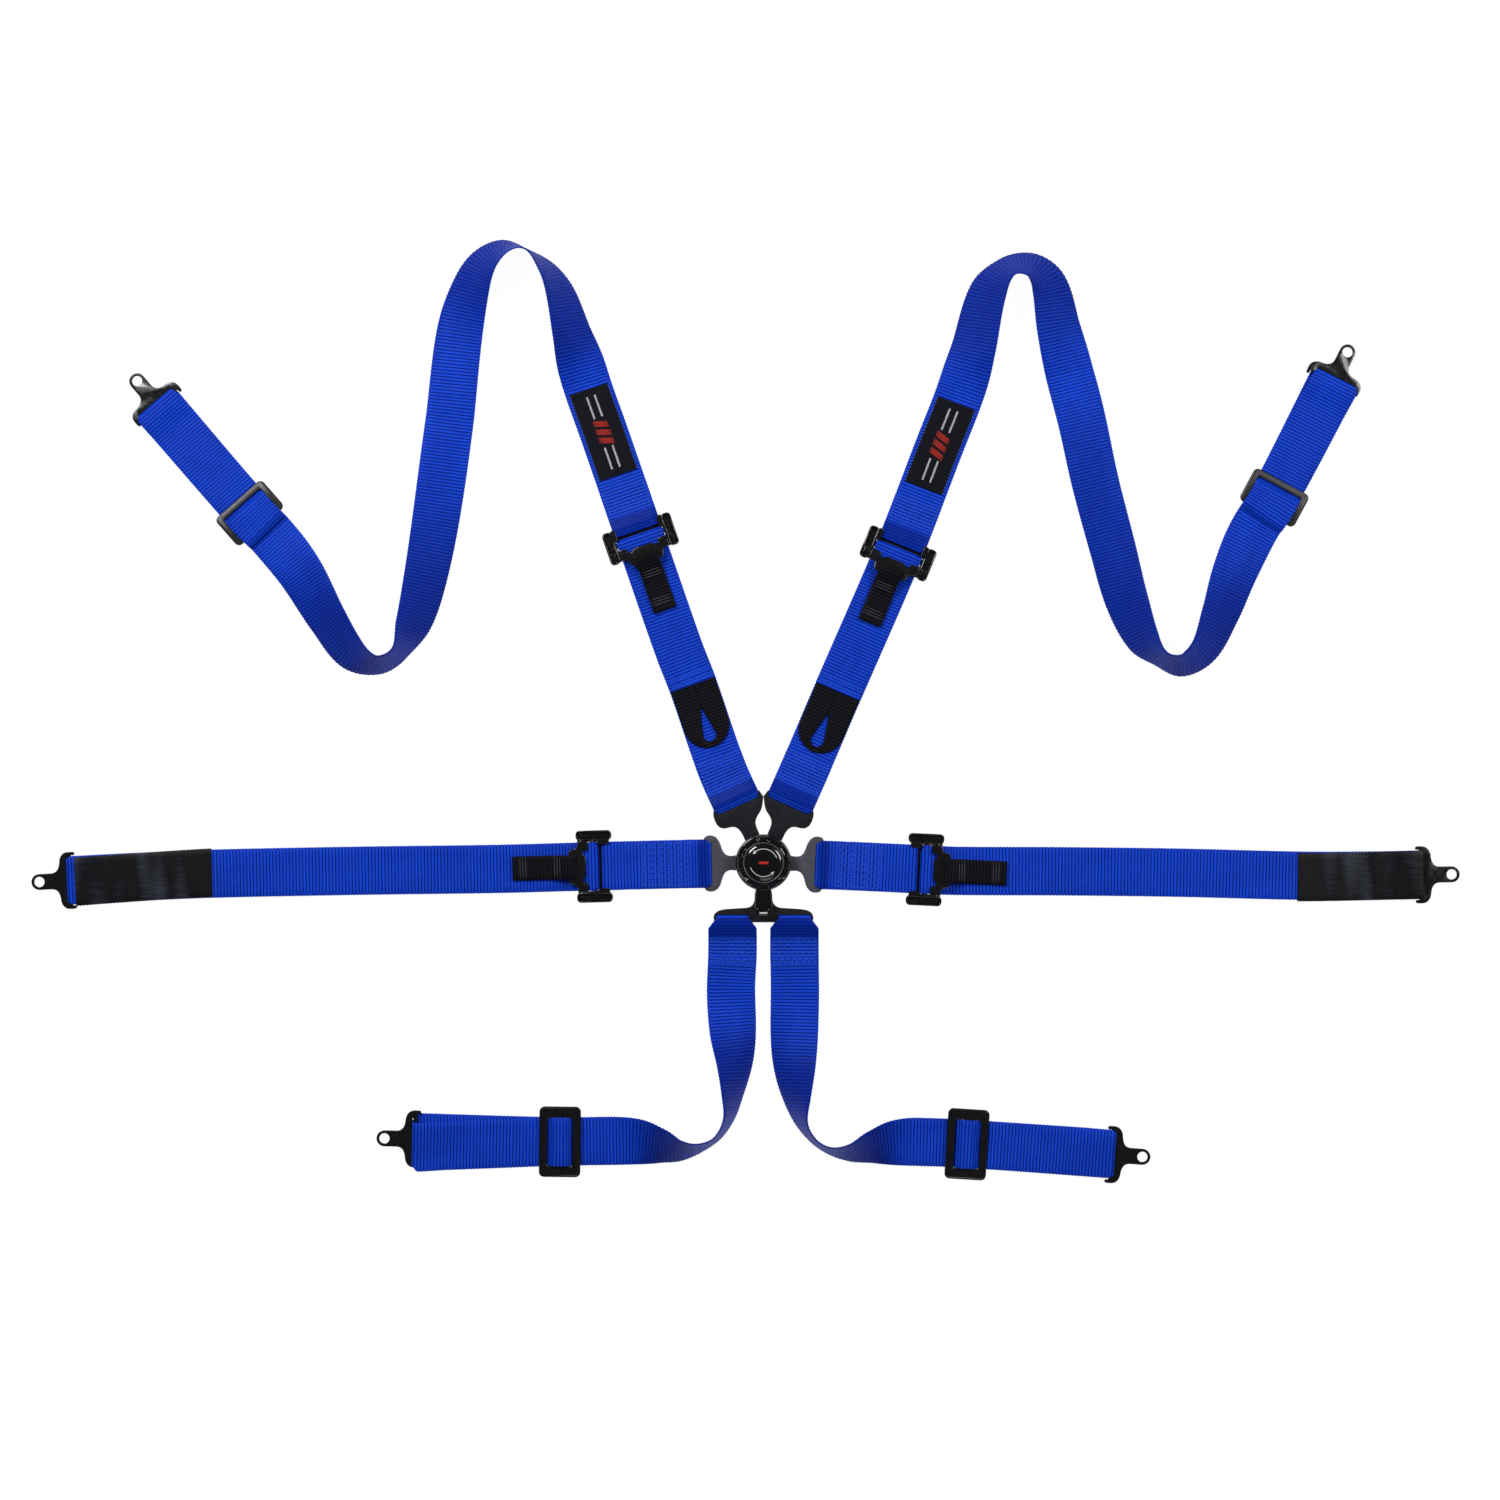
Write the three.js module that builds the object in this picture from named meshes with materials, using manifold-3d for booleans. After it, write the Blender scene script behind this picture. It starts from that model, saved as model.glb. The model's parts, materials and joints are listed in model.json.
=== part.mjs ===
// Six-strap cam-lock racing harness laid out flat, in millimetres.
// Origin: the buckle's axis at the floor. +X to the right lap belt, +Y to the shoulder belts, +Z up.
import * as THREE from "three";
import { mergeVertices } from "three/addons/utils/BufferGeometryUtils.js";
import Module from "manifold-3d";

const wasm = await Module();
wasm.setup();

// Webbing
const WEB_WIDTH = 50;
const WEB_THICK = 1.5;
const LAYER = WEB_THICK / 2; // middle of a strap that lies on the floor
const SECOND = 2.6; // middle of a second strap on top of it
const STATION = 15; // longest step along a strap
const FOLD_RADIUS = 3.25; // middle of the webbing where it folds round a bar
const FOLD_BACK = FOLD_RADIUS + LAYER; // from a fold's outside to its bar's middle
const FOLD_STEPS = 6;

// Steel plates
const PLATE = 3;
const TONGUE_Z = 6.5; // middle of a tongue
const ANCHOR_Z = 4; // middle of an anchor plate
const SLOT_HALF = 25.4;
const BAR_HALF = 1.7;
const ARC_STEPS = 5;

// Buckle
const BUCKLE_RADIUS = 28;
const SHOULDER_ANGLE = 24; // of a shoulder tongue from +Y
const SHOULDER_FOLD = 63; // from the buckle's axis to the strap's fold
const LAP_FOLD = 53;
const LEFT_LAP_ANGLE = THREE.MathUtils.degToRad(181.4);
const RIGHT_LAP_ANGLE = THREE.MathUtils.degToRad(-2.6);
const PIN_RADIUS = 2.6;
const PIN_RING = 15;
const LEVER_REACH = 54;
const LEVER_WIDTH = 17.5;

// Adjusters: u runs the way the free tail leaves
const CHEEK_IN = 26.8;
const CHEEK_OUT = 37.2;
const CHEEK_HALF = 19;
const SEWN_BAR_U = -13;
const SEWN_BAR_RADIUS = 2.2;
const LOCK_BAR_RADIUS = 2.8;
const BAR_Z = 4.8;
const FAR_BAR_U = 15;
const LOCK_FOLD = LOCK_BAR_RADIUS + 0.3 + LAYER;
const SEWN_FOLD = SEWN_BAR_RADIUS + 0.3 + LAYER;
const TAB_END = 84;

// Three-bar sliders
const SLIDER_LOW = 3.9;
const SLIDER_TOP = 6.9;

const PAINT = {
  web: { color: 0x0b1fb8, roughness: 0.75, metalness: 0 },
  trim: { color: 0x0c0c10, roughness: 0.7, metalness: 0 },
  strip: { color: 0x15161c, roughness: 0.4, metalness: 0 },
  enamel: { color: 0x0a0a0c, roughness: 0.25, metalness: 0.4 },
  steel: { color: 0x4a4a50, roughness: 0.35, metalness: 0.9 },
  plastic: { color: 0x08080a, roughness: 0.15, metalness: 0 },
};

const harness = new THREE.Group();

function addMesh(name, geometry, paint, place = null) {
  const mesh = new THREE.Mesh(geometry, new THREE.MeshStandardMaterial(PAINT[paint]));
  mesh.name = name;
  if (place) {
    mesh.position.set(place.x, place.y, 0);
    mesh.rotation.z = place.turn;
  }
  harness.add(mesh);
  return mesh;
}

// ---- solids ----

function toSolid(geometry) {
  const bare = new THREE.BufferGeometry();
  const source = geometry.index ? geometry.toNonIndexed() : geometry;
  bare.setAttribute("position", source.getAttribute("position"));
  const merged = mergeVertices(bare, 1e-3);
  return new wasm.Manifold(
    new wasm.Mesh({
      numProp: 3,
      vertProperties: merged.attributes.position.array,
      triVerts: new Uint32Array(merged.index.array),
    }),
  );
}

function toGeometry(solid) {
  const mesh = solid.getMesh();
  const geometry = new THREE.BufferGeometry();
  geometry.setAttribute("position", new THREE.BufferAttribute(new Float32Array(mesh.vertProperties), 3));
  geometry.setIndex(new THREE.BufferAttribute(new Uint32Array(mesh.triVerts), 1));
  return geometry;
}

function joined(geometries) {
  return toGeometry(geometries.map(toSolid).reduce((whole, piece) => whole.add(piece)));
}

// A flat plate from a plan outline, with its faces at two heights.
function flatPlate(outline, low, high) {
  const geometry = new THREE.ExtrudeGeometry(outline, {
    depth: high - low,
    bevelEnabled: false,
    curveSegments: ARC_STEPS,
  });
  return geometry.translate(0, 0, low);
}

// A plate that stands on edge: its outline is (u, height), and it spans v from near to far.
function standingPlate(outline, near, far) {
  const geometry = new THREE.ExtrudeGeometry(outline, {
    depth: far - near,
    bevelEnabled: false,
    curveSegments: ARC_STEPS,
  });
  return geometry.rotateX(Math.PI / 2).translate(0, far, 0);
}

function crossBar(u, z, radius, half, sides = 16) {
  return new THREE.CylinderGeometry(radius, radius, 2 * half, sides).translate(u, 0, z);
}

function disc(radius, low, high, sides = 40) {
  const geometry = new THREE.CylinderGeometry(radius, radius, high - low, sides);
  return geometry.rotateX(Math.PI / 2).translate(0, 0, (low + high) / 2);
}

// A rectangle whose corners are cut by arcs of a few points, or left sharp.
function rectangle(u0, v0, u1, v1, corner = 0) {
  const steps = corner ? 4 : 0;
  const points = [];
  [[u1, v0, -1], [u1, v1, 0], [u0, v1, 1], [u0, v0, 2]].forEach(([u, v, quarter]) => {
    const cu = u + (u === u1 ? -corner : corner);
    const cv = v + (v === v1 ? -corner : corner);
    for (let i = 0; i <= steps; i++) {
      const angle = ((quarter + (steps ? i / steps : 0)) * Math.PI) / 2;
      points.push(new THREE.Vector2(cu + corner * Math.cos(angle), cv + corner * Math.sin(angle)));
    }
  });
  return new THREE.Shape(points);
}

function roundHole(u, v, radius) {
  return new THREE.Path().absarc(u, v, radius, 0, 2 * Math.PI, true);
}

// ---- strap routes ----

// A smooth plan curve through hand-placed [x, y, tilt] points. A positive tilt, in degrees,
// raises the strap's left edge. at(s) gives place, heading and tilt at a length along it.
function makeRoute(points) {
  const count = points.length;
  const knots = [0];
  for (let i = 1; i < count; i++) {
    knots.push(knots[i - 1] + Math.hypot(points[i][0] - points[i - 1][0], points[i][1] - points[i - 1][1]));
  }
  const slopes = points.map((_, i) => {
    const a = Math.max(i - 1, 0);
    const b = Math.min(i + 1, count - 1);
    const rise = (k) => (points[b][k] - points[a][k]) / (knots[b] - knots[a]);
    const before = points[i][2] - points[a][2];
    const after = points[b][2] - points[i][2];
    return [rise(0), rise(1), before * after > 0 ? rise(2) : 0]; // the tilt never overshoots a knot
  });
  const table = [];
  for (let i = 0; i < count - 1; i++) {
    const gap = knots[i + 1] - knots[i];
    const steps = Math.ceil(gap);
    for (let j = 0; j < steps + (i === count - 2 ? 1 : 0); j++) {
      const t = j / steps;
      const blend = [2 * t ** 3 - 3 * t ** 2 + 1, t ** 3 - 2 * t ** 2 + t, -2 * t ** 3 + 3 * t ** 2, t ** 3 - t ** 2];
      table.push([0, 1, 2].map((k) =>
        blend[0] * points[i][k] + blend[1] * gap * slopes[i][k] +
        blend[2] * points[i + 1][k] + blend[3] * gap * slopes[i + 1][k]));
    }
  }
  const lengths = [0];
  for (let i = 1; i < table.length; i++) {
    lengths.push(lengths[i - 1] + Math.hypot(table[i][0] - table[i - 1][0], table[i][1] - table[i - 1][1]));
  }
  const length = lengths[lengths.length - 1];

  function at(s) {
    const inside = Math.min(Math.max(s, 0), length);
    let i = lengths.findIndex((value) => value >= inside);
    i = Math.min(Math.max(i, 1), table.length - 1);
    const t = (inside - lengths[i - 1]) / (lengths[i] - lengths[i - 1]);
    const a = table[Math.max(i - 3, 0)];
    const b = table[Math.min(i + 2, table.length - 1)];
    const run = Math.hypot(b[0] - a[0], b[1] - a[1]);
    const heading = [(b[0] - a[0]) / run, (b[1] - a[1]) / run];
    const [x, y, tilt] = [0, 1, 2].map((k) => table[i - 1][k] + t * (table[i][k] - table[i - 1][k]));
    const over = s - inside;
    return { x: x + over * heading[0], y: y + over * heading[1], heading, tilt: THREE.MathUtils.degToRad(tilt) };
  }

  function nearest(x, y) {
    const gaps = table.map((p) => Math.hypot(p[0] - x, p[1] - y));
    return lengths[gaps.indexOf(Math.min(...gaps))];
  }

  return { at, nearest, length };
}

// Where a strap's point (along s, across w, height h) lies.
function onStrap(route, s, w, h) {
  const { x, y, heading, tilt } = route.at(s);
  const lift = (Math.abs(Math.sin(tilt)) * WEB_WIDTH) / 2;
  const flat = w * Math.cos(tilt) - h * Math.sin(tilt);
  const up = w * Math.sin(tilt) + h * Math.cos(tilt);
  return [x - flat * heading[1], y + flat * heading[0], up + lift];
}

// Points round a fold: from angle a0 to a1 in degrees, about (s, h).
function foldArc(s, h, radius, a0, a1) {
  return Array.from({ length: FOLD_STEPS + 1 }, (_, i) => {
    const angle = THREE.MathUtils.degToRad(a0 + ((a1 - a0) * i) / FOLD_STEPS);
    return [s + radius * Math.cos(angle), h + radius * Math.sin(angle)];
  });
}

// A strap: a band of even thickness along a side-view path of (s, h) points, laid along a route.
function strap(route, path, { halfWidth = () => WEB_WIDTH / 2, thick = WEB_THICK } = {}) {
  const fine = [path[0]];
  for (let i = 1; i < path.length; i++) {
    const [s0, h0] = path[i - 1];
    const [s1, h1] = path[i];
    const parts = Math.max(1, Math.ceil(Math.hypot(s1 - s0, h1 - h0) / STATION));
    for (let j = 1; j <= parts; j++) {
      fine.push([s0 + ((s1 - s0) * j) / parts, h0 + ((h1 - h0) * j) / parts]);
    }
  }
  const unit = (a, b) => {
    const run = Math.hypot(b[0] - a[0], b[1] - a[1]);
    return [(b[0] - a[0]) / run, (b[1] - a[1]) / run];
  };
  const vertices = [];
  fine.forEach((point, i) => {
    const before = unit(fine[Math.max(i - 1, 0)], fine[Math.max(i, 1)]);
    const after = unit(fine[Math.min(i, fine.length - 2)], fine[Math.min(i + 1, fine.length - 1)]);
    const mid = [before[0] + after[0], before[1] + after[1]];
    const size = Math.hypot(...mid);
    const normal = [-mid[1] / size, mid[0] / size];
    const mitre = thick / 2 / Math.max(0.5, normal[0] * -after[1] + normal[1] * after[0]);
    const half = halfWidth(point[0]);
    for (const [w, side] of [[-half, -1], [half, -1], [half, 1], [-half, 1]]) {
      const s = point[0] + side * mitre * normal[0];
      const h = point[1] + side * mitre * normal[1];
      vertices.push(...onStrap(route, s, w, h));
    }
  });
  const faces = [];
  const last = 4 * (fine.length - 1);
  for (let i = 0; i < fine.length - 1; i++) {
    for (let k = 0; k < 4; k++) {
      const a = 4 * i + k;
      const b = 4 * i + ((k + 1) % 4);
      if (k === 2) {
        faces.push(a, a + 4, b + 4, a, b + 4, b); // the same diagonal as the face below, so a twist can't cross them
      } else {
        faces.push(a, a + 4, b, b, a + 4, b + 4);
      }
    }
  }
  faces.push(0, 1, 2, 0, 2, 3, last, last + 2, last + 1, last, last + 3, last + 2);
  const geometry = new THREE.BufferGeometry();
  geometry.setAttribute("position", new THREE.Float32BufferAttribute(vertices, 3));
  geometry.setIndex(faces);
  const solid = toSolid(geometry);
  if (solid.volume() < 0) {
    for (let i = 0; i < faces.length; i += 3) {
      [faces[i + 1], faces[i + 2]] = [faces[i + 2], faces[i + 1]];
    }
    geometry.setIndex(faces);
  }
  return geometry;
}

// The place and turn of a rigid piece at a length along a route; back turns it end for end.
function onRoute(route, s, back = false) {
  const { x, y, heading } = route.at(s);
  return { x, y, turn: Math.atan2(heading[1], heading[0]) + (back ? Math.PI : 0) };
}

// ---- routes, from the buckle outward ----

const inward = THREE.MathUtils.degToRad(SHOULDER_ANGLE);
const foldX = SHOULDER_FOLD * Math.sin(inward);
const foldY = SHOULDER_FOLD * Math.cos(inward);

// A flat route point at a distance and direction from the buckle's axis.
const away = (reach, angle) => [reach * Math.cos(angle), reach * Math.sin(angle), 0];

const ROUTES = {
  left_shoulder: makeRoute([
    [-foldX, foldY, 0], [-1.7 * foldX, 1.7 * foldY, 0], [-73, 183, 0], [-87, 219, 0], [-127, 334, 0], [-165, 444, 0],
    [-182, 492, 0], [-197, 543, 37], [-210, 588, 56], [-224, 612, 70], [-244, 629, 84], [-267, 631, 64],
    [-286, 619, 49], [-299, 597, 36], [-313, 547, 13], [-324, 457, 0], [-339, 346, -21], [-351, 280, -36],
    [-361, 244, -50], [-376, 214, -75], [-397, 204, -68], [-424, 216, -44], [-448, 250, -33],
    [-478, 300, -14], [-507, 336, 0], [-530, 360, 0], [-628, 475, 0],
  ]),
  right_shoulder: makeRoute([
    [foldX, foldY, 0], [1.7 * foldX, 1.7 * foldY, 0], [77, 176, 0], [139, 319, 0], [182, 430, 0],
    [203, 484, 0], [216, 527, -24], [232, 589, -42], [252, 612, -60], [276, 613, -52], [293, 596, -37],
    [304, 550, -20], [316, 505, 0], [328, 457, 14], [342, 392, 20], [360, 323, 25], [374, 270, 34],
    [391, 228, 54], [410, 209, 74], [431, 204, 62], [453, 220, 48], [470, 257, 33], [486, 300, 16],
    [506, 342, 0], [527, 376, 0], [590, 501, 0],
  ]),
  left_lap: makeRoute([
    away(LAP_FOLD, LEFT_LAP_ANGLE), away(115, LEFT_LAP_ANGLE), [-175, -4.3, 0], [-272, -7, 0],
    [-420, -9, 0], [-569, -12, 0], [-640, -15, 0], [-719, -19, 0],
  ]),
  right_lap: makeRoute([
    away(LAP_FOLD, RIGHT_LAP_ANGLE), away(115, RIGHT_LAP_ANGLE), [167, -7.6, 0],
    away(200, RIGHT_LAP_ANGLE), [306, -9.5, 0], [430, -11, 0], [551, -14, 0],
    [620, -14, 0], [682, -13, 0],
  ]),
  left_crotch: makeRoute([
    [-32, -54, 0], [-32, -95, 0], [-33.5, -132, 0], [-32, -170, -14], [-30, -204, -40], [-32, -236, -62],
    [-36, -262, -76], [-48, -282, -80], [-66, -292, -74], [-86, -295, -58], [-107, -291, -37],
    [-130, -288, -14], [-160, -288, 0], [-210, -288.5, 0], [-363, -285.5, 0],
  ]),
  right_crotch: makeRoute([
    [32, -54, 0], [32, -95, 0], [32.5, -132, 0], [32, -170, 8], [32, -204, 26], [34, -238, 52],
    [39, -266, 74], [52, -285, 80], [69, -295, 76], [90, -297, 62], [113, -292, 40], [135, -289, 16],
    [160, -289, 0], [210, -291, 0], [363, -302, 0],
  ]),
};

// ---- side-view paths ----

const foldEnd = (s) => foldArc(s - FOLD_BACK, ANCHOR_Z, FOLD_RADIUS, -90, 90);
const tongueFold = (s) => foldArc(s + FOLD_BACK, TONGUE_Z, FOLD_RADIUS, 270, 90);

// The outer end of a shoulder or crotch strap: through the slider's windows, whose outer edges lie at edge from its
// middle, round the anchor's bar, back through the slider, and on along the tail's points.
function sliderAndAnchor(slider, edge, end, tail) {
  return [
    [slider - edge + 1, LAYER], [slider - 3.7, SLIDER_TOP + 1], [slider + 3.7, SLIDER_TOP + 1],
    [slider + edge - 1, LAYER], ...foldEnd(end),
    [end - 16, ANCHOR_Z + FOLD_RADIUS], [end - 32, SECOND], [slider + edge - 0.2, SECOND],
    [slider + 5, SLIDER_TOP + 2.5], [slider + 3.6, SLIDER_TOP + 3], ...tail.map(([s, h]) => [slider + s, h]),
  ];
}

// ---- plates ----

// An anchor plate: a wide head with a webbing slot, necked down to a ring for the bolt. Only its two ears reach
// back past the strap's fold, outside the strap's edges, so that it swings clear of the strap.
function anchorPlate() {
  const half = 29.5;
  const bar = -FOLD_BACK - BAR_HALF;
  const ear = -9.5;
  const neck = 8.3;
  const ring = 28;
  const outline = new THREE.Shape();
  outline.moveTo(bar, -25.9);
  outline.lineTo(-7.5, -25.9);
  outline.quadraticCurveTo(ear, -25.9, ear, -27.5);
  outline.quadraticCurveTo(ear, -half, -6, -half);
  outline.lineTo(-3, -half);
  outline.quadraticCurveTo(4.5, -half, 6.5, -21);
  outline.bezierCurveTo(7, -12, 10, -neck, 16, -neck);
  outline.lineTo(ring, -neck);
  outline.absarc(ring, 0, neck, -Math.PI / 2, Math.PI / 2);
  outline.lineTo(16, neck);
  outline.bezierCurveTo(10, neck, 7, 12, 6.5, 21);
  outline.quadraticCurveTo(4.5, half, -3, half);
  outline.lineTo(-6, half);
  outline.quadraticCurveTo(ear, half, ear, 27.5);
  outline.quadraticCurveTo(ear, 25.9, -7.5, 25.9);
  outline.lineTo(bar, 25.9);
  outline.holes.push(roundHole(ring, 0, 5.25));
  outline.holes.push(rectangle(-FOLD_BACK + BAR_HALF, -SLOT_HALF, 1.2, SLOT_HALF));
  return flatPlate(outline, ANCHOR_Z - PLATE / 2, ANCHOR_Z + PLATE / 2);
}

// The tongue's tip: a fork round the latch pin, u outward from the buckle's axis.
const TIP_START = 12;
const TIP_HALF = 8.2;
const TIP_NARROW = 4.6;
const TIP_FULL = 21; // where the tip reaches its full width
const FORK_HALF = 3.2;

function forkTip(outline) {
  outline.lineTo(TIP_START, TIP_NARROW);
  outline.lineTo(TIP_START, FORK_HALF);
  outline.lineTo(PIN_RING, FORK_HALF);
  outline.absarc(PIN_RING, 0, FORK_HALF, Math.PI / 2, -Math.PI / 2, true);
  outline.lineTo(TIP_START, -FORK_HALF);
  outline.lineTo(TIP_START, -TIP_NARROW);
}

function lapTongue() {
  const half = 29;
  const neck = 7.4;
  const end = LAP_FOLD + 8.5;
  const outline = new THREE.Shape();
  outline.moveTo(TIP_FULL, -TIP_HALF);
  outline.lineTo(28, -TIP_HALF);
  outline.quadraticCurveTo(30, -neck, 33, -neck);
  outline.bezierCurveTo(39, -neck, 41, -10.5, 43, -16.5);
  outline.quadraticCurveTo(46, -half, 54.5, -half);
  outline.quadraticCurveTo(end, -half, end, -half + 6);
  outline.lineTo(end, half - 6);
  outline.quadraticCurveTo(end, half, 54.5, half);
  outline.quadraticCurveTo(46, half, 43, 16.5);
  outline.bezierCurveTo(41, 10.5, 39, neck, 33, neck);
  outline.quadraticCurveTo(30, neck, 28, TIP_HALF);
  outline.lineTo(TIP_FULL, TIP_HALF);
  forkTip(outline);
  outline.closePath();
  outline.holes.push(rectangle(LAP_FOLD - 1.2, -SLOT_HALF, LAP_FOLD + 2.3, SLOT_HALF));
  return flatPlate(outline, TONGUE_Z - PLATE / 2, TONGUE_Z + PLATE / 2);
}

// side is +1 where the other shoulder tongue lies on the +v side.
function shoulderTongue(side) {
  const outer = 28.5;
  const end = SHOULDER_FOLD + 8;
  const outline = new THREE.Shape();
  const v = (value) => -side * value;
  outline.moveTo(TIP_FULL, v(TIP_HALF));
  outline.lineTo(34, v(TIP_HALF));
  outline.bezierCurveTo(44, v(9), 46, v(12), 47, v(18));
  outline.quadraticCurveTo(48, v(outer), 58, v(outer));
  outline.quadraticCurveTo(end, v(outer), end, v(outer - 8));
  outline.lineTo(end, v(-23));
  outline.quadraticCurveTo(end - 0.5, v(-26.4), end - 4, v(-26.6));
  outline.lineTo(SHOULDER_FOLD - 1, v(-27.6));
  outline.lineTo(55, v(-23.4));
  outline.quadraticCurveTo(50, v(-20.5), 47, v(-15));
  outline.bezierCurveTo(44, v(-11), 42, v(-TIP_HALF), 34, v(-TIP_HALF));
  outline.lineTo(TIP_FULL, v(-TIP_HALF));
  outline.lineTo(TIP_START, v(-TIP_NARROW));
  outline.lineTo(TIP_START, v(-FORK_HALF));
  outline.lineTo(PIN_RING, v(-FORK_HALF));
  outline.absarc(PIN_RING, 0, FORK_HALF, (side * Math.PI) / 2, (-side * Math.PI) / 2, side > 0);
  outline.lineTo(TIP_START, v(FORK_HALF));
  outline.lineTo(TIP_START, v(TIP_NARROW));
  outline.closePath();
  outline.holes.push(rectangle(SHOULDER_FOLD - 1.2, -SLOT_HALF + 0.1, SHOULDER_FOLD + 2.3, SLOT_HALF - 0.1));
  return flatPlate(outline, TONGUE_Z - PLATE / 2, TONGUE_Z + PLATE / 2);
}

const CROTCH_FOLD = 54;
const CROTCH_STRAP = 32; // from the centre line to a crotch strap's middle
const CROTCH_NARROW = 16.5; // half width of a crotch strap at its fold

// u runs away from the buckle, towards the crotch straps.
function crotchTongue() {
  const end = CROTCH_FOLD + 8;
  const half = 51.5;
  const neck = 9.2;
  const outline = new THREE.Shape();
  outline.moveTo(TIP_FULL, -TIP_HALF);
  outline.lineTo(29, -TIP_HALF);
  outline.quadraticCurveTo(32, -neck, 38, -neck);
  outline.quadraticCurveTo(46, -neck - 0.8, 47, -18);
  outline.lineTo(48.3, -half + 13);
  outline.quadraticCurveTo(49.5, -half, 57, -half);
  outline.quadraticCurveTo(end, -half, end, -half + 5);
  outline.lineTo(end, half - 5);
  outline.quadraticCurveTo(end, half, 57, half);
  outline.quadraticCurveTo(49.5, half, 48.3, half - 13);
  outline.lineTo(47, 18);
  outline.quadraticCurveTo(46, neck + 0.8, 38, neck);
  outline.quadraticCurveTo(32, neck, 29, TIP_HALF);
  outline.lineTo(TIP_FULL, TIP_HALF);
  forkTip(outline);
  outline.closePath();
  for (const side of [-1, 1]) {
    const middle = side * CROTCH_STRAP;
    const reach = CROTCH_NARROW + 0.4;
    outline.holes.push(rectangle(CROTCH_FOLD - 1.2, middle - reach, CROTCH_FOLD + 2.3, middle + reach));
  }
  return flatPlate(outline, TONGUE_Z - PLATE / 2, TONGUE_Z + PLATE / 2);
}

// ---- adjuster pieces ----

function adjusterFrame() {
  const cheek = () => {
    const outline = rectangle(-CHEEK_HALF, 1.8, CHEEK_HALF, 11.5, 4);
    outline.holes.push(roundHole(0, BAR_Z, LOCK_BAR_RADIUS + 0.3));
    return outline;
  };
  return joined([
    standingPlate(cheek(), CHEEK_IN, CHEEK_OUT),
    standingPlate(cheek(), -CHEEK_OUT, -CHEEK_IN),
    crossBar(SEWN_BAR_U, BAR_Z, SEWN_BAR_RADIUS, CHEEK_IN + 2),
    crossBar(FAR_BAR_U, 4.1, 1.7, CHEEK_IN + 2),
  ]);
}

function lockLever() {
  const ear = new THREE.Shape();
  ear.moveTo(-2.4, BAR_Z - 2).lineTo(2.4, BAR_Z - 2).lineTo(12, 9.9).lineTo(12, 11.7);
  ear.lineTo(6.5, 11.7).lineTo(-2.4, BAR_Z + 2).closePath();
  const plate = new THREE.Shape();
  plate.moveTo(6.5, -26.4).lineTo(15, -26.4).lineTo(17, -20).lineTo(24, -17).lineTo(24, 17);
  plate.lineTo(17, 20).lineTo(15, 26.4).lineTo(6.5, 26.4).lineTo(6.5, 22);
  plate.lineTo(9.5, 18).lineTo(9.5, -18).lineTo(6.5, -22).closePath();
  return joined([
    crossBar(0, BAR_Z, LOCK_BAR_RADIUS, CHEEK_OUT - 0.6),
    standingPlate(ear, 25.3, 26.4),
    standingPlate(ear, -26.4, -25.3),
    flatPlate(plate, 9.9, 11.7),
  ]);
}

const TAB_PATH = [[24.5, 10.8], [31, 9.6], [43, 5.4], [TAB_END, 5.4]];

// A straight route along u, for soft pieces that ride on a rigid one.
const STRAIGHT = makeRoute([[0, 0, 0], [100, 0, 0]]);

// A three-bar slider: a plate with two windows either side of its centre bar.
function slider(long, wide, edge, window) {
  let solid = toSolid(flatPlate(rectangle(-long / 2, -wide / 2, long / 2, wide / 2, 6), SLIDER_LOW, SLIDER_TOP));
  for (const side of [-1, 1]) {
    const edges = [side * 3, side * edge].sort((a, b) => a - b);
    const cut = rectangle(edges[0], -window, edges[1], window);
    solid = solid.subtract(toSolid(flatPlate(cut, SLIDER_LOW - 1, SLIDER_TOP + 1)));
  }
  return toGeometry(solid);
}

// ---- shoulder belts ----

const PLACES = {
  left_shoulder: { hem: [-73, 183], adjuster: [-127, 334], label: [-165, 444], slider: [-530, 360] },
  right_shoulder: { hem: [77, 176], adjuster: [139, 319], label: [182, 430], slider: [527, 376] },
  left_lap: { hem: [-569, -12], adjuster: [-175, -4.3] },
  right_lap: { hem: [551, -14], adjuster: [167, -7.6] },
  left_crotch: { slider: [-210, -289] },
  right_crotch: { slider: [210, -291] },
};
const SHOULDER_SLIDER = 38;
const SHOULDER_WINDOW = 12; // from a slider's middle to the outer edge of its windows
const CROTCH_SLIDER = 43;
const CROTCH_WINDOW = 13;

function addAdjuster(arm, place) {
  addMesh(`${arm}_adjuster_frame`, adjusterFrame(), "enamel", place);
  addMesh(`${arm}_lock_lever`, lockLever(), "enamel", place);
  addMesh(`${arm}_pull_tab`, strap(STRAIGHT, TAB_PATH, { halfWidth: () => 12.3, thick: 3 }), "trim", place);
}

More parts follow.
